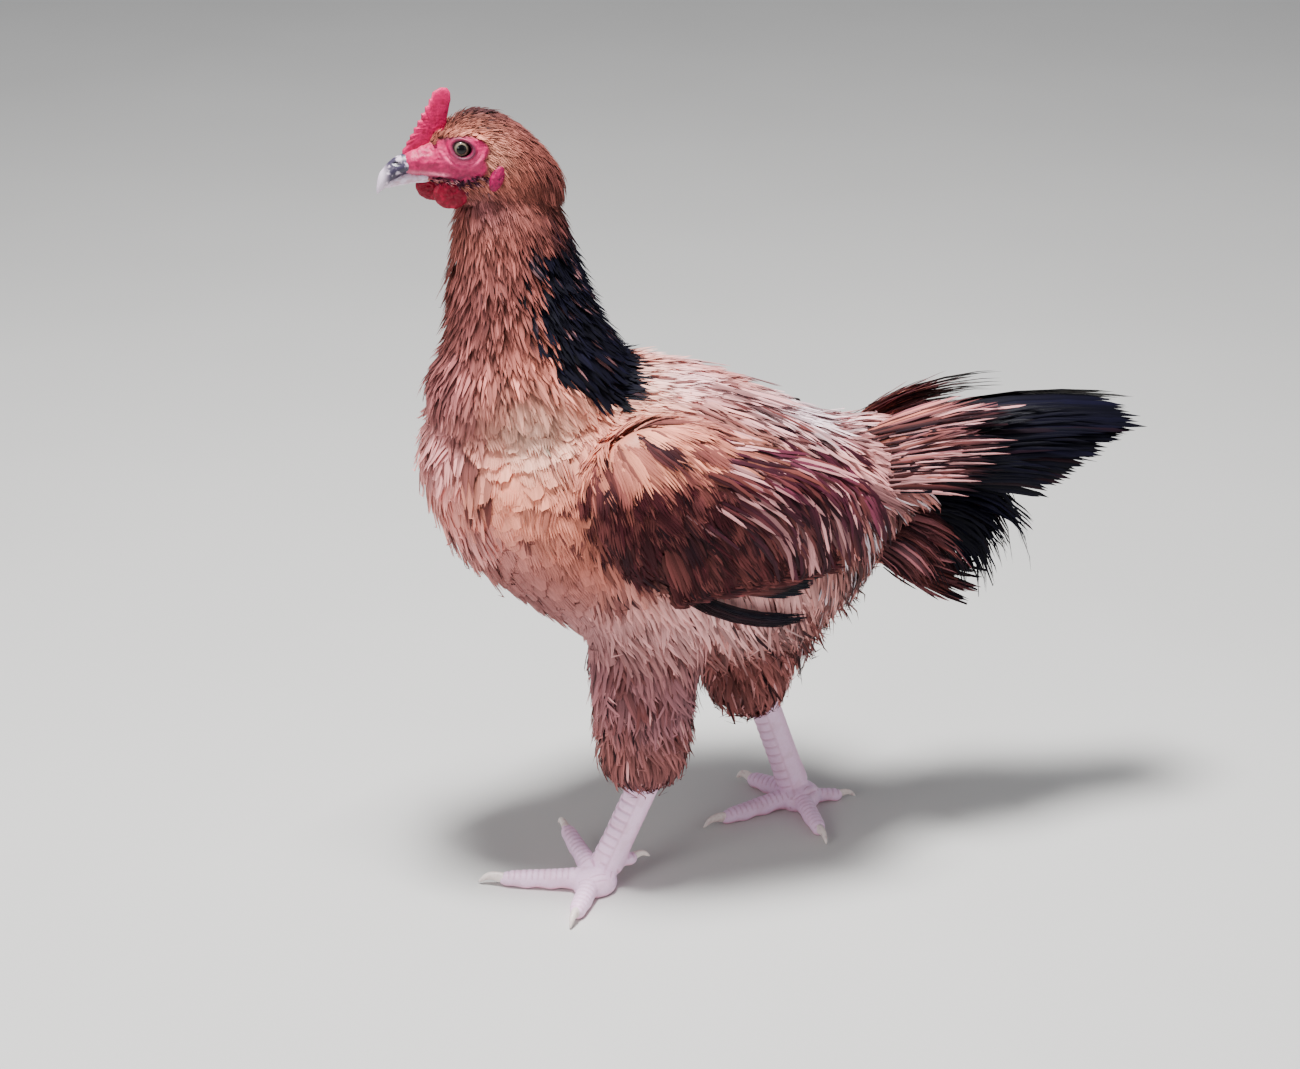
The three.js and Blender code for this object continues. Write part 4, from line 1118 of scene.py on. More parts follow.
def flesh_material(name, roughness, size, depth, strength, distance, **sockets):
    """Bare skin or horn: painted colours with a fine grain and pores."""
    material, tree, shader = new_material(name, roughness, **sockets)
    place = add_node(tree, "TexCoord", {})["Object"]
    wave = noise_wave(tree, place, 1000 / size, 4)
    colour_and_relief(tree, shader, shade_by(tree, wave, depth), wave, strength, distance)
    return material


soft_feather = feather_material("soft feather", 0.62, 3, 9, 0.8, 0.5, Specular_IOR_Level=0.12)
gloss_feather = feather_material("glossy feather", 0.42, 3, 8, 0.9, 0.5, Specular_IOR_Level=0.14)
stiff_feather = feather_material("stiff feather", 0.42, 60, 3, 0.8, 0.6, Specular_IOR_Level=0.12)
skin_material = flesh_material("skin", 0.55, 1.2, 0.35, 0.5, 0.4)
comb_material = flesh_material("comb", 0.45, 1.4, 0.4, 0.7, 0.5, Specular_IOR_Level=0.3)
horn_material = flesh_material("horn", 0.34, 3.0, 0.3, 0.2, 0.2)
scale_material = flesh_material("leg scales", 0.45, 1.5, 0.22, 0.3, 0.2)

# ---------------------------------------------------------------- the coat


def tract(name, spacing, inside, length, width, rise, tints, slot, fan=None, vane=None, material=soft_feather,
          over=None, guides=LIE_GUIDES, stray=0.1, swell=None, **shape):
    """One region of the coat: roots spread over it, each feather a whole vane, strands or both, laid
    along the lie, coloured and joined. Spacing, length, width and rise are in millimetres, and rise
    is the height of a feather's root and tip over the skin."""
    over = over or surface
    roots = over.scatter(inside, spacing)
    size = np.exp(rng.normal(0, 0.1, len(roots)))
    lengths = (length(roots) if callable(length) else length) * size
    spine, normals = trace(over, roots, lengths, guides, stray)
    widths = (width(roots) if callable(width) else width) * size
    colours = tints(spine[:, SEEN_STEP])
    swelling = swell(roots) if swell else np.ones(len(roots))
    parts = []
    if vane:
        parts.append(vane_feathers(name, spine, normals, widths, rise, colours, swelling, **vane))
    if fan:
        above = (rise[0] + 0.2, rise[1] + 0.3) if vane else rise
        parts.append(strand_feathers(
            name, FANS[fan], spine, normals, widths, above, colours, swelling, **shape))
    finish_piece(join(name, parts), material, slot, crisp=CRISP)


def body_tints(amount=0.13, tip=1.12, share=0.0, dark=BROWN):
    """Feathers a little paler at edge and tip, as on a buff bird, some of them dark."""
    def tints(seen):
        middle = streak(vary(plumage(seen), amount), share, dark)
        return middle, middle * 1.06, middle * tip
    return tints


def caped(seen, colours):
    """Some feathers turn black, the more the deeper they lie in the cape, and a few get a pale edge, partly
    their own brownish edging and partly a painted glint.
    """
    middle, edge, tip = colours
    black = rng.random((len(seen), 1)) < cape(seen)[:, None] * 1.25 - 0.1
    pale = some(len(seen), 0.12, 0.1, 0.5)
    heart = vary(np.tile(BLACK, (len(seen), 1)), 0.3)
    return (np.where(black, heart, middle), np.where(black, blend(heart, ROSE * 0.5, pale), edge),
            np.where(black, heart, tip))


def neck_tints(seen):
    """Neck feathers: brown hearts with buff edges, darker on the nape, and black ones on the cape."""
    x, _, z = seen.T
    colour = vary(buff_plumage(seen), 0.18)
    nape = ease(-80, -56, x) * ease(325, 350, z)
    heart = streak(colour, (0.3 + 0.4 * nape)[:, None], UMBER, 0.3, 0.9)
    return caped(seen, (heart, colour * 1.1, colour))


def back_tints(seen):
    middle = streak(vary(buff_plumage(seen), 0.12), 0.25, BROWN, 0.3)
    return caped(seen, (middle, middle * 1.08, middle * 1.1))


def covert_tints(seen):
    """Chestnut coverts, some lighter, some nearly black, and buff ones above them."""
    mixed = seen + rng.normal(0, 7, (len(seen), 1)) * (0, 0, 1)
    wing = rng.random((len(seen), 1)) < is_flight_side(mixed)[:, None]
    chestnut = vary(np.tile(CHESTNUT, (len(seen), 1)), 0.2)
    chestnut = streak(streak(chestnut, 0.35, BROWN * 1.2, 0.3), 0.3, UMBER)
    above = streak(vary(buff_plumage(seen), 0.12), 0.2, BROWN, 0.3)
    rust = bump(mixed[:, 2] - 247, 15) * ease(-62, -44, seen[:, 0])
    above = blend(above, BROWN * 1.5, (rust * rng.uniform(0.2, 1, len(seen)))[:, None])
    middle = np.where(wing, chestnut, above)
    return middle, blend(middle, BROWN * 1.3, 0.3), middle * 0.95


def head_tints(seen):
    """Head feathers: dark hearts on the crown and the back of the head, few on the cheek."""
    colour = vary(plumage(seen), 0.14) * 0.9
    x, _, z = in_head(seen).T
    dark = np.maximum(ease(16, 27, z), 0.7 * ease(4, 20, x))[:, None]
    heart = streak(colour, 0.1 + 0.55 * dark, UMBER)
    crown = 0.6 * ease(18, 30, z)
    return heart, blend(colour * 1.1, CROWN, crown), blend(colour, CROWN, crown)


def bristle_tints(seen):
    colour = vary(np.tile(srgb(58, 20, 44), (len(seen), 1)), 0.4)
    return colour, colour, streak(colour, 0.3, ROSE)


def ruff_tints(seen):
    middle = streak(vary(buff_plumage(seen), 0.14), 0.4, BROWN * 0.8, 0.3)
    return middle, middle * 1.15, middle * 1.2


def is_head(p):
    x, _, z = p.T
    return (z > 377) & (x < -40)


def is_neck(p):
    x, y, z = p.T
    return (z > 288 + 8 * np.sin(x * 1.7 + y * 2.3)) & (z <= 388) & (x < 4)


def is_thigh(p):
    x, y, z = p.T
    return (z < 132) & (np.abs(y) > 8) & (x < 106)


def is_wing(p):
    x, y, z = mirrored(p).T
    low = np.interp(x, (-50, -14, 44, 72), (220, 190, 186, 198))
    side = (x < 0) | (y > wing_face(x, z) - 14)
    return (y > 52) & (x > -52) & (x < 74) & (z > low) & (z < 258) & side


def is_shoulder(p):
    x, y, z = mirrored(p).T
    ragged = 6 * np.sin(x * 1.3 + z * 1.9)
    return (x > -74 + ragged) & (x < 12) & (y > 24 + ragged) & (z > np.where(x < -30, 216, 242)) & (z < 292)


def is_vent(p):
    x, _, z = p.T
    return (x > 18) & (x < 106) & (z < 182) & ~is_thigh(p)


def is_bristle(p):
    x, y, z = in_head(p).T
    ragged = np.sin(x * 2.1) + 0.6 * np.sin(x * 5.3 + z)
    return (x > -42) & (x < -14) & (z < -2 + ragged + 0.06 * (x + 14)) & (z > -10 + ragged) & (np.abs(y) > 7)


def is_under_wing(p):
    x, y, z = mirrored(p).T
    return (y > 50) & (x > -20) & (x < 74) & (z > 190) & (z < 262)


def is_ruff(p):
    x, _, z = p.T
    return (x < -98) & (z > 192) & (z < 306)


def is_breast(p):
    x, _, z = p.T
    return (x < -42) & (z <= 302) & (z > 108) & ~is_wing(p)


def is_saddle(p):
    x, _, z = p.T
    return (x > 60) & (z > 226) & (x < 150)


def is_back(p):
    x, _, z = p.T
    return (x >= -46) & (x <= 66) & (z > 236) & ~is_under_wing(p)


def is_rump(p):
    x, _, z = p.T
    return (x > 80) & (z <= 234) & (z > 138)


def is_belly(p):
    x, _, z = p.T
    return (x >= -46) & (z <= 236) & (x < np.where(z > 150, 84, 108)) & ~is_under_wing(p) & ~is_thigh(p)


def is_feathered_head(p):
    x, _, z = in_head(p).T
    return is_head(p) & (face_share(p) < 0.5) & (x > np.where(z < 0, -27, -44))


def head_length(p):
    """Feathers are shortest round the face and longer towards the neck."""
    x, _, z = in_head(p).T
    return 4.5 + 4.5 * ease(-30, 0, x) + 10 * ease(-4, 20, x) * ease(20, 4, z) + 7 * ease(10, 26, -z)


def head_swell(p):
    """The feathers stand out more where the head runs into the neck."""
    x, _, z = in_head(p).T
    return 1 + 1.6 * np.maximum(ease(4, 24, x), ease(8, 24, -z))


def neck_swell(p):
    return 0.75 + 0.45 * ease(385, 350, p[:, 2]) - 0.4 * ease(312, 288, p[:, 2])


def neck_length(p):
    high = ease(300, 352, p[:, 2])
    return 19 + 8 * (1 - high) + 11 * (1 - high) * ease(-75, -45, p[:, 0])


def neck_width(p):
    return 2.9 + 2.9 * (1 - ease(300, 352, p[:, 2]))


tract("feathers_breast", 4.5, is_breast, 25, 14, (0.6, 5.6), body_tints(0.08), "body_feathers", "fringe",
      {"rounding": 0.28, "fray": 0.04}, camber=0.25, loose=0.06, grizzle=0.06, deep=0.1)
tract("feathers_shoulder", 3.8, is_shoulder, 30, 8.5, (0.4, 6.2), covert_tints, "body_feathers", "shag",
      loose=0.13, stray=0.18, grizzle=0.14, deep=0.05, streaks=((0.08, BROWN),))
tract("feathers_vent", 5.2, is_vent, 38, 9, (0.8, 13), body_tints(0.18, tip=0.75, share=0.3, dark=UMBER),
      "body_feathers", "soft", stray=0.25, loose=0.3, curl=3, curve=1.7, grizzle=0.3,
      streaks=((0.25, UMBER), (0.2, BROWN)))
tract("feathers_ruff", 6.4, is_ruff, 27, 13, (0.8, 8.6), ruff_tints, "body_feathers", "shag", stray=0.22,
      loose=0.24, curl=1.8, grizzle=0.2)
tract("feathers_belly", 4.4, is_belly, 32, 11, (0.6, 7.4), body_tints(0.12, share=0.1), "body_feathers",
      "soft", stray=0.2, loose=0.25, curl=2, grizzle=0.2, streaks=((0.08, BROWN), (0.03, UMBER)))
tract("feathers_back", 4.0, is_back, 30, 8, (0.6, 5.4), back_tints, "body_feathers", "soft", loose=0.12,
      grizzle=0.2, streaks=((0.22, BROWN),))
tract("feathers_saddle", 3.3, is_saddle, 48, 5, (0.8, 7), body_tints(0.18, share=0.2), "body_feathers",
      "lance", loose=0.16, curl=2, stray=0.14, grizzle=0.25, streaks=((0.14, MAUVE), (0.07, UMBER)))
# A share of the rump's strands take GLARE, as painted glints.
tract("feathers_rump", 3.8, is_rump, 48, 8, (0.8, 10), body_tints(0.2, share=0.25, dark=UMBER),
      "body_feathers", "soft", loose=0.2, curl=3, stray=0.17, grizzle=0.3,
      streaks=((0.22, UMBER), (0.12, MAUVE), (0.14, GLARE)))
tract("feathers_neck", 2.35, is_neck, neck_length, neck_width, (0.5, 7), neck_tints, "neck_feathers", "lance",
      loose=0.12, curl=0.8, grizzle=0.3, swell=neck_swell)
tract("feathers_head", 1.8, is_feathered_head, head_length, 2.3, (0.2, 2.4), head_tints, "head_feathers",
      "head", loose=0.1, grizzle=0.25, swell=head_swell)
tract("face_bristles", 1.5, is_bristle, 4.0, 1.0, (0.3, 2.0), bristle_tints, "head_feathers", "head",
      stray=0.4, loose=0.25, curl=0.4)
tract("feathers_thighs", 3.7, is_thigh, 26, 8.5, (0.6, 8), body_tints(0.13, share=0.1, tip=1.25),
      "leg_feathers", "soft", stray=0.22, loose=0.25, curl=2.5, grizzle=0.22,
      streaks=((0.08, ROSE), (0.14, UMBER)))
tract("wing_coverts", 4.0, is_wing, 28, 9, (0.6, 5), covert_tints, "wing_feathers", "shag", over=outer,
      loose=0.12, stray=0.14, grizzle=0.3, streaks=((0.1, BROWN * 1.4), (0.12, UMBER)))


def face_colours(points):
    """Red bare skin, darker round the lids, with painted shade in the fold of the gape."""
    away, dx, dz = round_eye(points)
    local = in_head(points)
    ahead = 1 - ease(-36, -30, local[:, 0])
    fold = gape_fold(local)
    brow = bump(dz - 6.4 - 0.2 * dx, 1.0) * ease(-16, -11, dx) * (1 - ease(-3, 3, dx))
    low = bump(local[:, 0] + 25, 12) * bump(local[:, 2] + 6, 5)
    colour = np.tile(RED, (len(points), 1))
    for patch, share in (
        (srgb(236, 70, 130), 0.6 * bump(away - 7.5, 2) * ease(0, 4, -dz)),  # the bags below the eye
        (srgb(70, 24, 46), 0.9 * bump(away - 4.3, 1.2)),  # the lids
        (srgb(88, 22, 50), 0.75 * brow),
        (srgb(246, 150, 176), 0.5 * bump(fold - 2.2, 1.0) * ahead),  # the lip over the gape
        # The gape's dark line is painted shade in its fold.
        (srgb(70, 10, 36), 0.85 * bump(fold, 0.6) * ahead),  # the gape
        (srgb(48, 10, 40), low * ease(-0.5, 0.3, grain(local, 1.6))),  # the skin between the bristles
    ):
        colour = blend(colour, patch, share)
    return colour * np.exp(0.35 * grain(local, 2.2))[:, None]


def paint_skin():
    """The markings of the coat, darkened as painted shade under the feathers, with the red of the bare face.
    """
    points = places_of(skin)
    paint(skin, blend(plumage(points) * 0.75, face_colours(points), face_share(points)))


paint_skin()
finish_piece(skin, skin_material, "body_feathers", "torso", "neck", "head", "thigh_left", "thigh_right")

# ---------------------------------------------------------------- wings and tail


def arcs(roots, middles, tips):
    """Spines through three places each."""
    t = np.linspace(0, 1, STEPS + 1)[None, :, None]
    hold = 2 * middles - (roots + tips) / 2
    return roots[:, None] * (1 - t) ** 2 + hold[:, None] * 2 * t * (1 - t) + tips[:, None] * t**2


# Wing tiers, lowest feather to highest: root and tip as x and z, with the steps to the last one. The
# roots lie sunk under the coverts.
PRIMARIES = {"root": (-14, 190), "root_step": (6, 4), "tip": (75, 154), "tip_step": (-4, 4), "sag": -9}
SECONDARIES = {"root": (8, 194), "root_step": (16, 20), "tip": (72, 175), "tip_step": (14, 20), "sag": -3}
ROOT_SUNK, MIDDLE_SUNK = 9, 1


def wing_tier(side, tier, count, deep, shallow, shorten):
    """Spines and normals of a tier, laid from deep to shallow inside the wing's face."""
    t = np.linspace(0, 1, count)
    root = np.array(tier["root"]) + np.outer(t, tier["root_step"])
    tip = np.array(tier["tip"]) + np.outer(t, tier["tip_step"])
    tip = tip + (root - tip) * shorten + rng.normal(0, 1, tip.shape)
    depth = deep + (shallow - deep) * t

    def place(at, sunk=0):
        return np.stack((at[:, 0], side * (wing_face(at[:, 0], at[:, 1]) - depth - sunk), at[:, 1]), 1)

    spine = arcs(place(root, ROOT_SUNK), place((root + tip) / 2 + (0, tier["sag"]), MIDDLE_SUNK), place(tip))
    normal = unit(np.stack((0 * t + 0.12, side + 0 * t, 0 * t), 1))
    return spine, np.repeat(normal[:, None], STEPS + 1, axis=1)


def flat_tints(count, *colours):
    """A row of each colour for each feather, a little varied."""
    return [vary(np.tile(colour, (count, 1)), 0.1) for colour in colours]


# Tiers of the folded wing: tier, count, width, depth of the lowest and the highest feather inside the
# wing's face, share that is cut off the length, and colours of heart, edge and tip.
WING_TIERS = (
    (PRIMARIES, 4, 5, 7.0, 5.0, 0, (BLACK, UMBER, BLACK)),
    (SECONDARIES, 12, 9, 7.5, 2.5, 0, (UMBER, BLACK, BLACK)),
    (SECONDARIES, 12, 8, 5.0, 1.5, 0.15, (CHESTNUT, BROWN, UMBER)),
)
for name, side in SIDES.items():
    parts = []
    for tier, count, width, deep, shallow, shorten, colours in WING_TIERS:
        spine, normals = wing_tier(side, tier, count, deep, shallow, shorten)
        parts.append(strand_feathers(
            "flight", FANS["tail"], spine, normals, np.full(count, float(width)), (0, 0.6),
            flat_tints(count, *colours), loose=0.1, grizzle=0.3))
    flight = join(f"wing_flight_{name}", parts)
    finish_piece(flight, stiff_feather, "wing_feathers", f"wing_{name}", crisp=CRISP)


def is_plume(p):
    x, y, z = mirrored(p).T
    ragged = 8 * np.sin(x * 1.1 + z * 2.3)
    low = 242 + ragged + 10 * ease(20, -4, x)
    free = (z > 262) | (y > wing_face(x, z) - 21)
    return (x > -8 + ragged) & (x < 76) & (z > low) & (y > 20 + ragged) & free


def plume_tints(seen):
    """Long plumes: purple-brown ones among buff ones, darkest where they end low on the flank."""
    base = vary(np.tile(PLUM, (len(seen), 1)), 0.3)
    base = blend(base, PLUM * 0.5, 0.7 * ease(228, 198, seen[:, 2]))
    base = streak(base, ease(218, 262, seen[:, 2])[:, None], buff_plumage(seen), 0.6)
    return base, base * 0.6, base * 0.7


tract("plumes", 3.6, is_plume, 62, 5.5, (0.4, 7.5), plume_tints, "body_feathers", "plume",
      material=gloss_feather, over=outer, guides=SWEEP_GUIDES, stray=0.12, loose=0.14, curl=1.8,
      grizzle=0.4, deep=0.15, streaks=((0.25, BROWN), (0.2, ROSE), (0.18, UMBER)))

# Tail tiers on one side, top feather to bottom: root, tip and push of the middle, with the steps to
# the last one and how the steps of the tip bow.
RECTRICES = {
    "root": (128, 9, 238), "root_step": (4, 7, -32), "tip": (281, 12, 238), "tip_step": (-56, 12, -31),
    "bow": (1.1, 1, 1.1), "push": (0, 1.5, 8), "push_step": (4, 0, 2),
}
# The middle pairs, which lie close over the seam between the two sides of the fan.
RIDGE = {
    "root": (126, 2.5, 237), "root_step": (2, 1, -6), "tip": (277, 3, 237), "tip_step": (-12, 2, -9),
    "push": (0, 1, 8),
}
DROOPING = {
    "root": (130, 14, 208), "root_step": (2, 4, -18), "tip": (216, 25, 158), "tip_step": (-40, 3, -14),
    "push": (20, 2, 22), "push_step": (-8, 0, -10),
}
TAIL_COVERTS = {
    "root": (108, 10, 243), "root_step": (4, 14, -30), "tip": (206, 16, 255), "tip_step": (-26, 17, -41),
    "push": (0, 5, 5),
}
VENT = {
    "root": (110, 12, 206), "root_step": (4, 14, -26), "tip": (172, 20, 172), "tip_step": (-26, 10, -26),
    "push": (8, 4, 8),
}
UNDERTAIL = {
    "root": (118, 8, 178), "root_step": (0, 5, 9), "tip": (170, 9, 144), "tip_step": (12, 8, 9),
    "push": (4, 3, -4),
}
# Slope of the fan's roof at its top and bottom feathers, in degrees from upright, how deep the roots
# of outer tiers are sunk, and the least distance from the middle plane.
ROOF = (52, 8)
TIER_SUNK = -1.6
MIDDLE_CLEAR = 0.6


def tail_tier(side, tier, t, reach, out, jitter):
    """Spines and normals of one side's tail feathers at shares t down the fan."""
    t = t[:, None]
    root = np.array(tier["root"]) + t * tier["root_step"]
    tip = np.array(tier["tip"]) + t ** np.array(tier.get("bow", 1)) * tier["tip_step"]
    middle = (root + tip) / 2 + np.array(tier["push"]) + t * tier.get("push_step", (0, 0, 0))
    spine = arcs(root, middle, tip)
    spine = along(spine, np.linspace(0, 1, STEPS + 1)[None] * (reach * np.ones(len(t)))[:, None])
    spine = spine + rng.normal(0, jitter, (len(t), 1, 3)) * np.linspace(0.2, 1, STEPS + 1)[None, :, None]
    tilt = np.radians(ROOF[0] + (ROOF[1] - ROOF[0]) * t[:, 0])
    across = np.stack((0 * tilt, np.sin(tilt), -np.cos(tilt)), 1)
    normal = unit(np.cross(across[:, None], unit(np.gradient(spine, axis=1))))
    normal = normal * np.sign(normal[:, :, 1:2] + 0.3 * normal[:, :, 2:3])
    spine = spine + normal * out * np.linspace(TIER_SUNK, 1, STEPS + 1)[None, :, None]
    spine[:, :, 1] = np.maximum(spine[:, :, 1], MIDDLE_CLEAR)
    return spine * (1, side, 1), normal * (1, side, 1)


def tail_piece(name, tiers, material, streaks):
    """Joins tiers of tail feathers: tier, count, width, reach, out, jitter, fan, colours, looseness.
    Tiers with little jitter are evenly spread, the others are not."""
    parts = []
    for side in SIDES.values():
        for tier, count, width, reach, out, jitter, fan, colours, loose in tiers:
            t = np.linspace(0, 1, count) if jitter < 1.5 else np.sort(rng.random(count))
            spine, normals = tail_tier(side, tier, t, reach, out, jitter)
            widths = np.linspace(width, width * 0.85, count)
            parts.append(strand_feathers(
                name, FANS[fan], spine, normals, widths, (0, 0.5 + 2 * loose), flat_tints(count, *colours),
                loose=loose, curl=8 * loose, grizzle=0.35, streaks=streaks))
    finish_piece(join(name, parts), material, "tail_feathers", "tail", crisp=CRISP)


INKY = (BLACK, BLACK * 1.3, BLACK)
TAWNY = (BUFF, MAUVE, MAUVE)
DUSKY = (BROWN, UMBER, BLACK)
tail_piece("tail_vanes", [
    (RECTRICES, 8, 20, 1.0, 0, 1.0, "tail", INKY, 0.06),
    (RECTRICES, 9, 13, 0.96, 0.8, 3.0, "soft", INKY, 0.12),
    (RECTRICES, 10, 12, 0.84, 1.4, 3.0, "soft", INKY, 0.14),
    (RECTRICES, 11, 11, 0.7, 2.2, 3.0, "soft", INKY, 0.14),
    (RECTRICES, 11, 11, 0.58, 3.0, 3.0, "soft", INKY, 0.14),
    (DROOPING, 6, 13, 1.0, 0, 2.0, "soft", INKY, 0.16),
    (RIDGE, 3, 16, 0.97, 0, 1.4, "tail", INKY, 0.06),
    (RIDGE, 5, 12, 0.8, 1.0, 1.4, "soft", INKY, 0.12),
    (DROOPING, 8, 10, 0.9, 1.0, 4.0, "soft", INKY, 0.18),
    (DROOPING, 8, 10, 0.75, 2.0, 4.0, "soft", INKY, 0.18),
], gloss_feather, ((0.1, UMBER),))
tail_piece("tail_coverts", [
    (TAIL_COVERTS, 16, 8, 1.0, 0.5, 4.5, "soft", DUSKY, 0.16),
    (TAIL_COVERTS, 20, 7, 0.85, 1.6, 4.5, "soft", DUSKY, 0.18),
    (TAIL_COVERTS, 26, 6, 0.74, 2.6, 4.5, "soft", TAWNY, 0.2),
    (TAIL_COVERTS, 30, 6, 0.62, 3.6, 4.5, "soft", TAWNY, 0.2),
], soft_feather, ((0.3, UMBER), (0.12, BLACK), (0.16, ROSE)))
tail_piece("tail_under", [
    (VENT, 16, 8, 1.0, 1.5, 6.0, "soft", (UMBER, BROWN, BLACK), 0.2),
    (VENT, 20, 8, 0.85, 2.5, 6.0, "soft", (MAUVE, UMBER, BROWN), 0.2),
    (UNDERTAIL, 11, 11, 1.0, 1.0, 6.0, "soft", (UMBER, BROWN, BLACK), 0.22),
    (UNDERTAIL, 14, 9, 0.85, 1.5, 6.0, "soft", (BROWN, UMBER, BROWN), 0.22),
    (UNDERTAIL, 14, 9, 0.65, 2.0, 6.0, "soft", (MAUVE, BROWN, MAUVE), 0.22),
], soft_feather, ((0.3, UMBER), (0.12, BLACK), (0.15, MAUVE)))

# ---------------------------------------------------------------- comb, wattles, earlobes

# The comb's toothed front edge runs from its foot to its peak, in the head's x and z.
COMB = {"foot": (-54.5, 8), "peak": (-35.5, 40), "teeth": 9, "bite": 0.9, "point": 0.5}


def comb_edge():
    """The comb's outline in the head's measures: up its toothed front, and down its plain rear."""
    foot, peak = np.array(COMB["foot"], float), np.array(COMB["peak"], float)
    edge = [(-36, 4), (-52, 5)]
    for i in range(COMB["teeth"]):
        edge.append(foot + (peak - foot) * i / COMB["teeth"] + (COMB["bite"], 0))
        edge.append(foot + (peak - foot) * (i + 0.7) / COMB["teeth"] + (-COMB["point"], COMB["point"]))
    rear = [(-32.5, 41.5), (-29, 41), (-27.4, 38.5), (-27.3, 35), (-29, 28), (-30, 22), (-30, 14)]
    return edge + [COMB["peak"]] + rear


def edge_reach(corners, middle, angles):
    """How far an outline lies from its middle in each direction."""
    corners = np.asarray(corners, float) - middle
    ahead = np.roll(corners, -1, axis=0)
    reach = np.zeros(len(angles))
    d = np.stack((np.cos(angles), np.sin(angles)), 1)
    for a, b in zip(corners, ahead):
        span = b - a
        across = d[:, 0] * span[1] - d[:, 1] * span[0]
        across = np.where(np.abs(across) < 1e-9, 1e-9, across)
        far = (a[0] * span[1] - a[1] * span[0]) / across
        share = (a[0] * d[:, 1] - a[1] * d[:, 0]) / across
        hit = (share >= -1e-6) & (share <= 1 + 1e-6) & (far > 0)
        reach = np.where(hit, np.maximum(reach, far), reach)
    return reach


def lobe(name, middle, reach, thick, blunt, colours, wrinkle, detail=(96, 48)):
    """A soft flat lobe in the head's measures: a ball pressed flat inside an outline and wrinkled."""
    obj = primitive(name, bpy.ops.mesh.primitive_uv_sphere_add, segments=detail[0], ring_count=detail[1],
                    radius=1)
    x, z, y = verts_of(obj).T
    angle = np.arctan2(z, x)
    flat = np.hypot(x, z)
    far = reach(angle)
    local = np.stack((middle[0] + flat * far * np.cos(angle),
                      middle[1] + thick * np.sign(y) * np.abs(y) ** blunt,
                      middle[2] + flat * far * np.sin(angle)), 1)
    local = local + unit(local - middle) * (wrinkle * grain(local, 2.2))[:, None] * (0.4 + np.abs(y))[:, None]
    set_places(obj, on_head(local))
    face_outwards(obj)
    paint(obj, colours(local, flat))
    return obj


def mottled(ground, patch, size, depth, full=0.8):
    """The colours of a lobe: a ground with darker or paler blotches of a size in millimetres."""
    def colours(local, flat):
        colour = np.tile(ground, (len(local), 1))
        return blend(colour, patch, depth * ease(0.0, full, grain(local, size)))
    return colours


def comb_colours(local, flat):
    """Red, paler along the rim, with dark blotches."""
    red, rim, blotch = srgb(184, 0, 78), srgb(240, 50, 124), srgb(140, 0, 46)
    colour = blend(np.tile(red, (len(local), 1)), rim, 0.35 * ease(0.8, 1, flat))
    return blend(colour, blotch, 0.7 * ease(0.0, 0.8, grain(local, 3.0)))


wattle_colours = mottled(srgb(128, 0, 36), srgb(196, 14, 66), 3.0, 0.6)
ear_colours = mottled(srgb(160, 8, 76), srgb(84, 10, 48), 1.4, 0.8, 0.5)


def oval(long, tall, lean):
    """The outline of a leaning oval, as its reach in each direction."""
    def reach(angle):
        return 1 / np.hypot(np.cos(angle - lean) / long, np.sin(angle - lean) / tall)
    return reach


COMB_MIDDLE = np.array((-38.5, 0.0, 21.0))
comb = lobe("comb_blade", COMB_MIDDLE, lambda a: edge_reach(comb_edge(), COMB_MIDDLE[[0, 2]], a),
            thick=2.3, blunt=0.7, colours=comb_colours, wrinkle=0.3, detail=(240, 64))
finish_piece(comb, comb_material, "comb_skin", "comb")

# Middles of the wattles and the earlobes in the head's measures, and their outlines.
WATTLES = {LEFT: (-31, 9, -12.2), RIGHT: (-35, 9, -12.2)}
EARLOBE = (-9.5, 19, -3.5)
WATTLE_OVAL, EARLOBE_OVAL = oval(9.5, 7.8, -0.25), oval(3.6, 7, -0.35)

for name, side in SIDES.items():
    wattle = lobe(f"wattle_skin_{name}", on_side(side, *WATTLES[side]), WATTLE_OVAL, thick=2.6, blunt=0.8,
                  colours=wattle_colours, wrinkle=0.5)
    finish_piece(wattle, comb_material, "comb_skin", f"wattle_{name}")
    ear = lobe(f"earlobe_skin_{name}", on_side(side, *EARLOBE), EARLOBE_OVAL, thick=2.6, blunt=0.8,
               colours=ear_colours, wrinkle=0.35, detail=(48, 24))
    finish_piece(ear, comb_material, "comb_skin", f"earlobe_{name}")

# ---------------------------------------------------------------- beak and eyes


def horn_colours(local, upper):
    """Slate horn with pale lavender blotches, pale at the hook and along the cutting edges."""
    mottle = grain(local, 3.2, 3)
    slate, rosy = srgb(58, 50, 72), srgb(190, 140, 150)
    pale = np.tile(srgb(226, 206, 226), (len(local), 1))
    if not upper:
        return blend(pale, rosy, 0.6 * ease(0.0, 0.7, mottle))
    edge = np.interp(local[:, 0], (-67, -60, -50), (-10, -5, -1.4))
    share = ease(-61, -66, local[:, 0]) + 0.8 * ease(0.15, 0.6, mottle)
    share = share + 0.8 * ease(2.2, 0.2, local[:, 2] - edge)
    return blend(slate, pale, np.clip(share, 0, 1))


# How much the upper beak narrows to its ridge and the lower one to its keel, and the nostril's pit.
RIDGE_NARROW, KEEL_NARROW = 0.28, 0.12
PIT = {"long": 1.9, "tall": 0.8, "deep": 1.4}


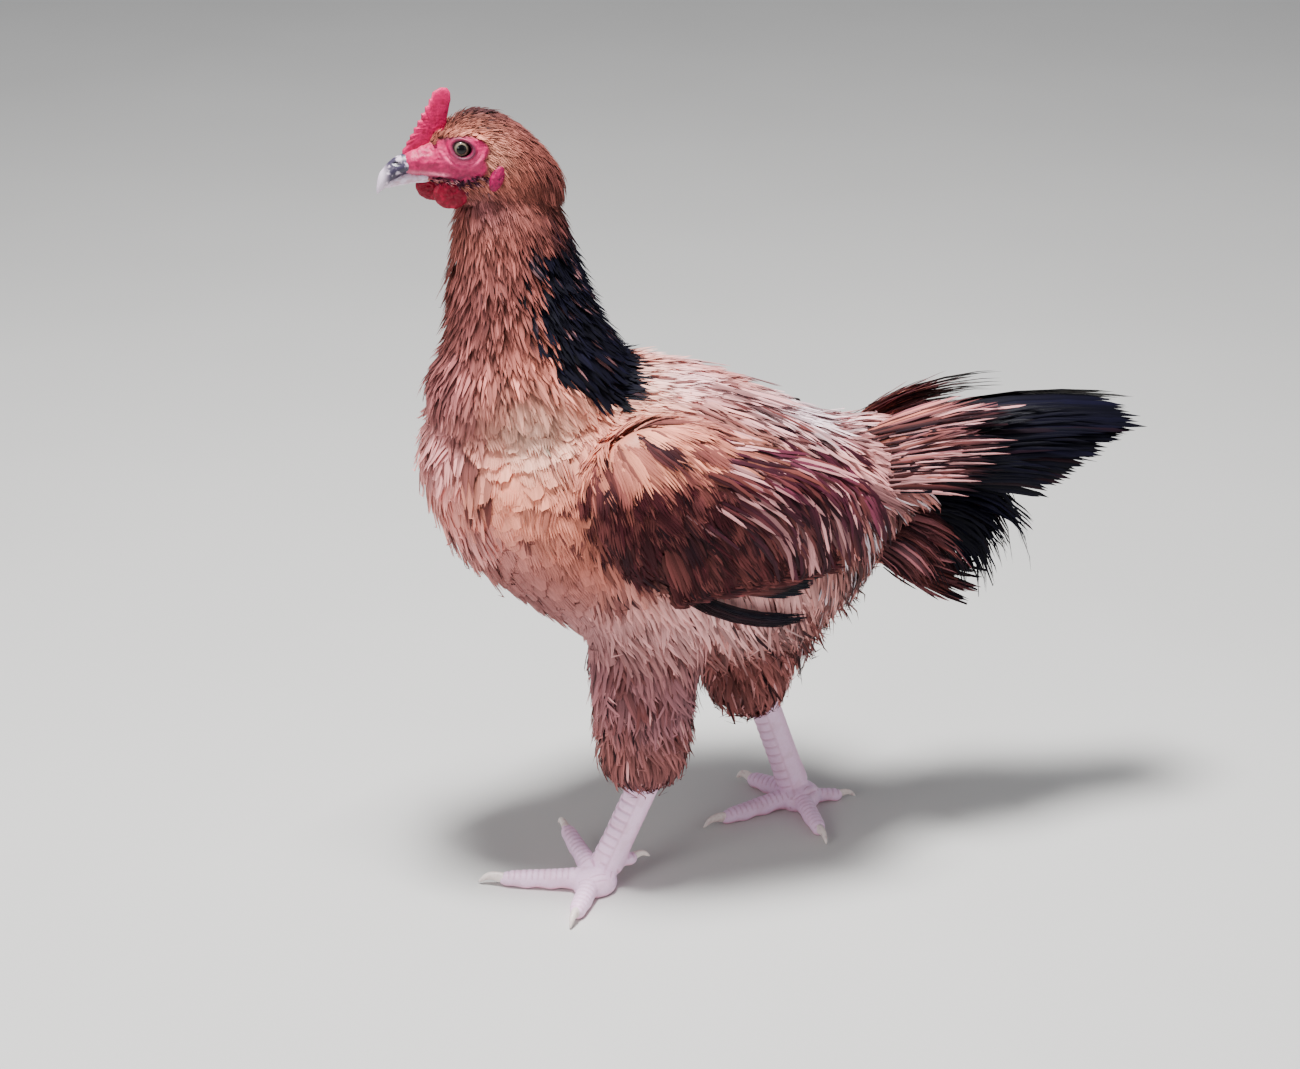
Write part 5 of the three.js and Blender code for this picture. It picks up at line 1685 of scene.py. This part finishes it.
def make_beak(name, stations, upper, node):
    obj = head_loft(name, stations, 0, 40, 40)
    finer = obj.modifiers.new("finer", "SUBSURF")
    finer.levels = finer.render_levels = 1
    apply_all(obj)
    local = in_head(places_of(obj))
    table = np.asarray(stations, float)
    top = np.interp(local[:, 0], table[:, 0], table[:, 1])
    low = np.interp(local[:, 0], table[:, 0], table[:, 2])
    height = np.clip((local[:, 2] - (top + low) / 2) / np.maximum((top - low) / 2, 0.5), -1, 1)
    narrow = RIDGE_NARROW if upper else KEEL_NARROW
    local[:, 1] *= 1 - narrow * np.clip(height if upper else -height, 0, 1) ** 2
    pit = bump(local[:, 0] - NOSTRIL[0], PIT["long"]) * bump(local[:, 2] - NOSTRIL[2], PIT["tall"]) * upper
    local[:, 1] -= np.sign(local[:, 1]) * PIT["deep"] * pit
    set_places(obj, on_head(local))
    face_outwards(obj)
    paint(obj, blend(horn_colours(local, upper), srgb(24, 18, 26), 0.9 * pit))
    finish_piece(obj, horn_material, "beak_horn", node)


make_beak("beak_upper_horn", BEAK_UPPER, True, "beak_upper")
make_beak("beak_lower_horn", BEAK_LOWER, False, "beak_lower")

# Colours from the back of the eye to the middle of the pupil.
EYE_STOPS = (
    (0.0, (40, 22, 26)), (0.735, (46, 30, 32)), (0.765, (84, 76, 66)), (0.80, (122, 112, 96)),
    (0.835, (110, 98, 82)), (0.848, (10, 8, 10)),
)


def eye_material():
    """Pupil, iris and rim by the ball's own map, which has its pole at the pupil."""
    material, tree, shader = new_material("eye", 0.08, Specular_IOR_Level=0.3)
    uv = add_node(tree, "UVMap", {}, uv_map="UVMap")["UV"]
    height = add_node(tree, "SeparateXYZ", {0: uv})["Y"]
    stretched = add_node(tree, "VectorMath", {0: uv, 1: (40, 6, 1)}, operation="MULTIPLY")[0]
    rays = maths(tree, "MULTIPLY", noise_wave(tree, stretched, 1, 2), 0.03)
    ramp = tree.nodes.new("ShaderNodeValToRGB")
    elements = ramp.color_ramp.elements
    while len(elements) < len(EYE_STOPS):
        elements.new(0.5)
    for element, (at, colour) in zip(elements, EYE_STOPS):
        element.position = at
        element.color = (*srgb(*colour), 1)
    feed(tree, ramp.inputs["Fac"], maths(tree, "ADD", height, rays))
    feed(tree, shader.inputs["Base Color"], ramp.outputs["Color"])
    return material


# How far the front of the ball is domed, how deep the ball is set, and how far it looks ahead and up
# for each step outwards.
CORNEA = 0.05
EYE_SUNK = 0.3
GAZE_AHEAD, GAZE_UP = -0.22, 0.06

eye_glass = eye_material()
for name, side in SIDES.items():
    gaze = Vector((GAZE_AHEAD, side, GAZE_UP)).normalized().to_track_quat("Z", "Y")
    ball = primitive(f"eye_ball_{name}", bpy.ops.mesh.primitive_uv_sphere_add, segments=48, ring_count=48,
                     radius=EYE_RADIUS * MM)
    co = verts_of(ball) / MM
    front = ease(0.74, 1.0, co[:, 2] / EYE_RADIUS)
    co = co * (1 + CORNEA * front)[:, None]
    turned = np.array([gaze @ Vector(p) for p in co.tolist()])
    set_places(ball, on_head(turned + on_side(side, EYE[0], EYE[1] - EYE_SUNK, EYE[2])))
    finish_piece(ball, eye_glass, "eye", f"eye_{name}")

# ---------------------------------------------------------------- legs

AHEAD = np.array((-1.0, 0, 0))
UP = np.array((0, 0, 1.0))
# How high a toe's middle line lies over the ground, as a share of its radius.
TOE_REST = 0.72
# Half sizes of the pad under the toes and the height of its middle over the floor.
PAD_HALF, PAD_LEVEL = (13, 13, 9), 4.8
# The voxels and rounds of softening of a leg's skin, and how far its sole stays over the floor.
LEG_VOXEL, LEG_SOFTENING = 0.7, 5
SOLE_CLEAR = 0.02
# The length of a scute on the shank and on the toes, how far scutes stand out, how deep the grooves
# between them and the lines along the sides are, and how deep the grain is elsewhere.
SHANK_SCUTE, TOE_SCUTE = 5.4, 3.4
SCUTE_RAISED, GROOVE_DEEP, LINE_DEEP, GRAIN_DEEP = 0.3, 0.4, 0.25, 0.16
# Places of a rolled grid that are nearer than this merge, in metres.
WELD = 0.00002


def toe_place(side, kind, reach, height):
    """A place on a toe's line, at a distance from the pad and a height over the floor."""
    foot = FEET[side]
    turn = math.radians(TOES[kind][0][side][0])
    heading = math.radians(foot["heading"])
    x, y = -math.cos(turn), side * math.sin(turn)
    x, y = x * math.cos(heading) - y * math.sin(heading), x * math.sin(heading) + y * math.cos(heading)
    return (foot["pad"][0] + x * reach, side * foot["pad"][1] + y * reach, FLOOR + height)


def toe_line(side, kind):
    where, length, _, radius = TOES[kind]
    _, base, tip = where[side]
    rest = radius * TOE_REST
    return [
        toe_place(side, kind, 0, rest + 2.4 + base),
        toe_place(side, kind, length * 0.35, rest + 0.8 + base + (tip - base) * 0.35),
        toe_place(side, kind, length * 0.7, rest * 0.95 + base + (tip - base) * 0.7),
        toe_place(side, kind, length, rest * 0.8 + tip),
    ]


def claw_line(side, kind):
    where, length, claw, radius = TOES[kind]
    _, base, tip = where[side]
    rest = radius * TOE_REST
    return [
        toe_place(side, kind, length - 5, rest * 0.9 + base + (tip - base) * 0.9),
        toe_place(side, kind, length + claw * 0.5, rest * 1.1 + tip),
        toe_place(side, kind, length + claw, 0.9 + tip),
    ]


def even_path(places, count):
    """Even places on a smooth curve."""
    places = np.asarray(places, float)
    steps = np.append(0, np.cumsum(np.linalg.norm(np.diff(places, axis=0), axis=1)))
    if len(places) < 3:
        return places[0] + (places[-1] - places[0]) * np.linspace(0, 1, count)[:, None]
    return smooth(steps, places, np.linspace(0, steps[-1], count))


def path_frame(places, front, count):
    """Even places on a path, with its way, the way across it and the way out towards its front."""
    path = even_path(places, count)
    way = unit(np.gradient(path, axis=0))
    across = unit(np.cross(way, front))
    return path, way, across, np.cross(across, way)


def limb(name, places, front, radius, flat=1.0, sides=28, stacks=40):
    """A grid rolled into a tube along a path; radius(s, angle) is read with the share of the length
    and the angle from its front or top."""
    obj = primitive(name, bpy.ops.mesh.primitive_grid_add, x_subdivisions=stacks, y_subdivisions=sides,
                    size=2)
    grid = verts_of(obj)
    s, angle = (grid[:, 0] + 1) / 2, grid[:, 1] * math.pi
    path, _, across, rise = path_frame(places, front, stacks + 1)
    index = np.round(s * stacks).astype(int)
    r = radius(s, angle)
    out, aside = np.cos(angle) * r, np.sin(angle) * r * flat
    set_places(obj, path[index] + rise[index] * out[:, None] + across[index] * aside[:, None])
    edit(obj, lambda: bpy.ops.mesh.remove_doubles(threshold=WELD),
         lambda: bpy.ops.mesh.normals_make_consistent(inside=False))
    return obj


def cap(s, sharp):
    """Rounds both ends of a tube, the shorter the sharper."""
    return np.sqrt(np.clip(1 - np.clip(1 - np.minimum(s, 1 - s) * sharp, 0, 1) ** 2, 0, 1))


def leg_frame(points, places, front):
    """For places on a leg: the distance along a path, the angle from its front and the distance from it."""
    path, way, across, rise = path_frame(places, front, 40)
    near = ((points[:, None] - path[None]) ** 2).sum(axis=2).argmin(axis=1)
    gap = points - path[near]
    far = np.append(0, np.cumsum(np.linalg.norm(np.diff(path, axis=0), axis=1)))
    s = far[near] + dot(gap, way[near])[:, 0]
    angle = np.arctan2(dot(gap, across[near])[:, 0], dot(gap, rise[near])[:, 0])
    return s, angle, np.linalg.norm(gap - dot(gap, way[near]) * way[near], axis=1), far[-1]


def make_leg(name, side):
    """Shank, pad and toes fused into one skin, with scutes pressed into it."""
    foot = FEET[side]
    hock, ankle = on_side(side, *foot["hock"]), on_side(side, *foot["ankle"])
    pad = on_side(side, *foot["pad"], FLOOR + PAD_LEVEL)

    def shank_radius(s, angle):
        knob = 0.22 * ease(0.75, 1, s) + 0.12 * (1 - ease(0, 0.3, s))
        return cap(s, 8) * SHANK_RADIUS * (1 + knob)

    parts = [limb("shank", [ankle, hock], AHEAD, shank_radius, 0.78)]
    parts.append(primitive(
        "pad", bpy.ops.mesh.primitive_uv_sphere_add, segments=32, ring_count=16, radius=1,
        location=Vector(to_row(pad)), scale=[half * MM for half in PAD_HALF]))
    bpy.ops.object.transform_apply(location=True, rotation=True, scale=True)
    for kind, (_, length, _, radius) in TOES.items():
        joints = max(2, round(length / 15))

        def toe_radius(s, angle, radius=radius, joints=joints):
            under = np.clip(-np.cos(angle), 0, 1)
            bulge = 0.6 * np.cos(2 * math.pi * (s * joints + 0.2)) * under
            return cap(s, 5) * (radius * (1 - 0.3 * s) + bulge)

        parts.append(limb("toe", toe_line(side, kind), UP, toe_radius))
    leg = join(f"leg_{name}", parts)
    fuse(leg, LEG_VOXEL, LEG_SOFTENING)
    points, normals = places_of(leg), normals_of(leg)
    out, groove = leg_relief(points, side, ankle, hock)
    points = stand(leg, points + normals * out[:, None])
    paint(leg, leg_colours(points, normals, groove))
    replaced = [f"shank_{name}", f"foot_pad_{name}"] + [f"toe_{kind}_{name}" for kind in TOES]
    finish_piece(leg, scale_material, "leg_skin", *replaced)


def stand(obj, points):
    """Sets a mesh's places, none of them under the floor."""
    points[:, 2] = np.maximum(points[:, 2], FLOOR + SOLE_CLEAR)
    set_places(obj, points)
    return points


def leg_relief(points, side, ankle, hock):
    """How far each place on a leg stands out, and how deep it lies in a groove between scutes."""
    fronts = [(AHEAD, [ankle, hock])] + [(UP, toe_line(side, kind)) for kind in TOES]
    frames = [leg_frame(points, places, front) for front, places in fronts]
    closest = np.argmin([f[2] / (SHANK_RADIUS if i == 0 else 5.0) for i, f in enumerate(frames)], axis=0)
    out, groove = np.zeros(len(points)), np.zeros(len(points))
    for i, (s, angle, _, length) in enumerate(frames):
        here = closest == i
        if i == 0:
            row = np.sign(angle)
            wave = (s / SHANK_SCUTE + 0.25 * row) % 1
            seam = 0.14 * np.abs(((s / SHANK_SCUTE) % 1) * 2 - 1) - 0.07
            split = bump(angle - seam, 0.10)
            ahead = 1 - ease(1.15, 1.5, np.abs(angle))
        else:
            wave = (s / TOE_SCUTE) % 1
            split = 0
            ahead = 1 - ease(1.0, 1.35, np.abs(angle))
        cut = np.maximum(bump(np.minimum(wave, 1 - wave), 0.11), split) * ahead
        raised = SCUTE_RAISED * ahead * (1 - (2 * wave - 1) ** 4)
        side_line = bump(np.abs(angle) - 1.3, 0.09) * (i == 0)
        out = np.where(here, raised - GROOVE_DEEP * cut - LINE_DEEP * side_line, out)
        groove = np.where(here, np.maximum(cut, 0.6 * side_line), groove)
    return out + GRAIN_DEEP * grain(points, 1.1) * (out < 0.05), groove


def leg_colours(points, normals, groove):
    """Pale lavender pink, redder under the foot, behind the shank and between the scutes."""
    colour = np.tile(srgb(255, 214, 246), (len(points), 1))
    for patch, share in (
        (srgb(244, 160, 176), 0.6 * ease(0.1, 0.9, -normals[:, 2])),  # the sole
        (srgb(236, 190, 216), 0.5 * ease(0.1, 0.7, grain(points, 9))),  # blotches
        (srgb(214, 140, 180), 0.4 * (ease(0.3, 0.9, normals[:, 0]) * ease(5, 20, points[:, 2]))),
        (srgb(206, 140, 170), 0.55 * groove),
    ):
        colour = blend(colour, patch, share)
    return colour


def make_claws(name, side):
    parts = []
    for kind, (_, _, _, radius) in TOES.items():

        def claw_radius(s, angle, radius=radius):
            return radius * 0.55 * np.minimum(1, s * 10) * np.clip(1 - s, 0, 1) ** 0.55

        parts.append(limb("claw", claw_line(side, kind), UP, claw_radius, 0.8, 20, 24))
    claws = join(f"claws_{name}", parts)
    points = stand(claws, places_of(claws))
    paint(claws, blend(np.tile(srgb(244, 228, 222), (len(points), 1)), srgb(206, 170, 172),
                       0.6 * ease(0, 0.7, grain(points, 3))))
    finish_piece(claws, horn_material, "claw_horn", *[f"claw_{kind}_{name}" for kind in TOES])


for name, side in SIDES.items():
    make_leg(name, side)
    make_claws(name, side)

# ---------------------------------------------------------------- floor, light and camera

CAMERA_AIM = (0, 0, 188.83)
CAMERA_AWAY = 1.7
CAMERA_AZIMUTH = math.radians(-13)
CAMERA_ELEVATION = math.radians(23)
CAMERA_LENS = 85.84
# The lights and what they look at, in metres, with their size and power.
LIGHT_AIM = Vector((0, 0, 0.2))
LIGHTS = {
    "key": ((-0.2, -0.15, 1.7), 0.35, 66),
    "fill": ((-1.6, -1.2, 1.1), 0.9, 16),
    "side": ((1.5, -1.2, 0.8), 1.4, 5),
}
WORLD_COLOUR, WORLD_STRENGTH = (0.9, 0.93, 1, 1), 0.3


def make_stage():
    floor = primitive("floor", bpy.ops.mesh.primitive_plane_add, size=60, location=(0, 0, 0))
    material, tree, shader = new_material("floor", 0.8)
    place = add_node(tree, "TexCoord", {})["Object"]
    clouds = add_node(tree, "TexNoise", {"Vector": place, "Scale": 4})["Fac"]
    ramp = tree.nodes.new("ShaderNodeValToRGB")
    ramp.color_ramp.elements[0].color = (0.62, 0.61, 0.59, 1)
    ramp.color_ramp.elements[1].color = (0.68, 0.67, 0.65, 1)
    feed(tree, ramp.inputs["Fac"], clouds)
    feed(tree, shader.inputs["Base Color"], ramp.outputs["Color"])
    floor.data.materials.append(material)


def area_light(name, place, size, power):
    light = bpy.data.lights.new(name, "AREA")
    light.size = size
    light.energy = power
    obj = bpy.data.objects.new(name, light)
    obj.location = place
    obj.rotation_euler = (LIGHT_AIM - Vector(place)).to_track_quat("-Z", "Y").to_euler()
    bpy.context.scene.collection.objects.link(obj)


def make_camera():
    camera = bpy.data.cameras.new("camera")
    camera.lens = CAMERA_LENS
    camera.sensor_width = 36
    obj = bpy.data.objects.new("camera", camera)
    a, e = CAMERA_AZIMUTH, CAMERA_ELEVATION
    back = Vector((math.sin(a) * math.cos(e), -math.cos(a) * math.cos(e), math.sin(e)))
    obj.location = Vector(to_row(CAMERA_AIM)) + back * CAMERA_AWAY
    obj.rotation_euler = (-back).to_track_quat("-Z", "Y").to_euler()
    bpy.context.scene.collection.objects.link(obj)
    bpy.context.scene.camera = obj


make_stage()
make_camera()
for name, (place, size, power) in LIGHTS.items():
    area_light(name, place, size, power)
world = bpy.data.worlds.new("studio")
world.use_nodes = True
background = world.node_tree.nodes["Background"]
background.inputs["Color"].default_value = WORLD_COLOUR
background.inputs["Strength"].default_value = WORLD_STRENGTH
bpy.context.scene.world = world
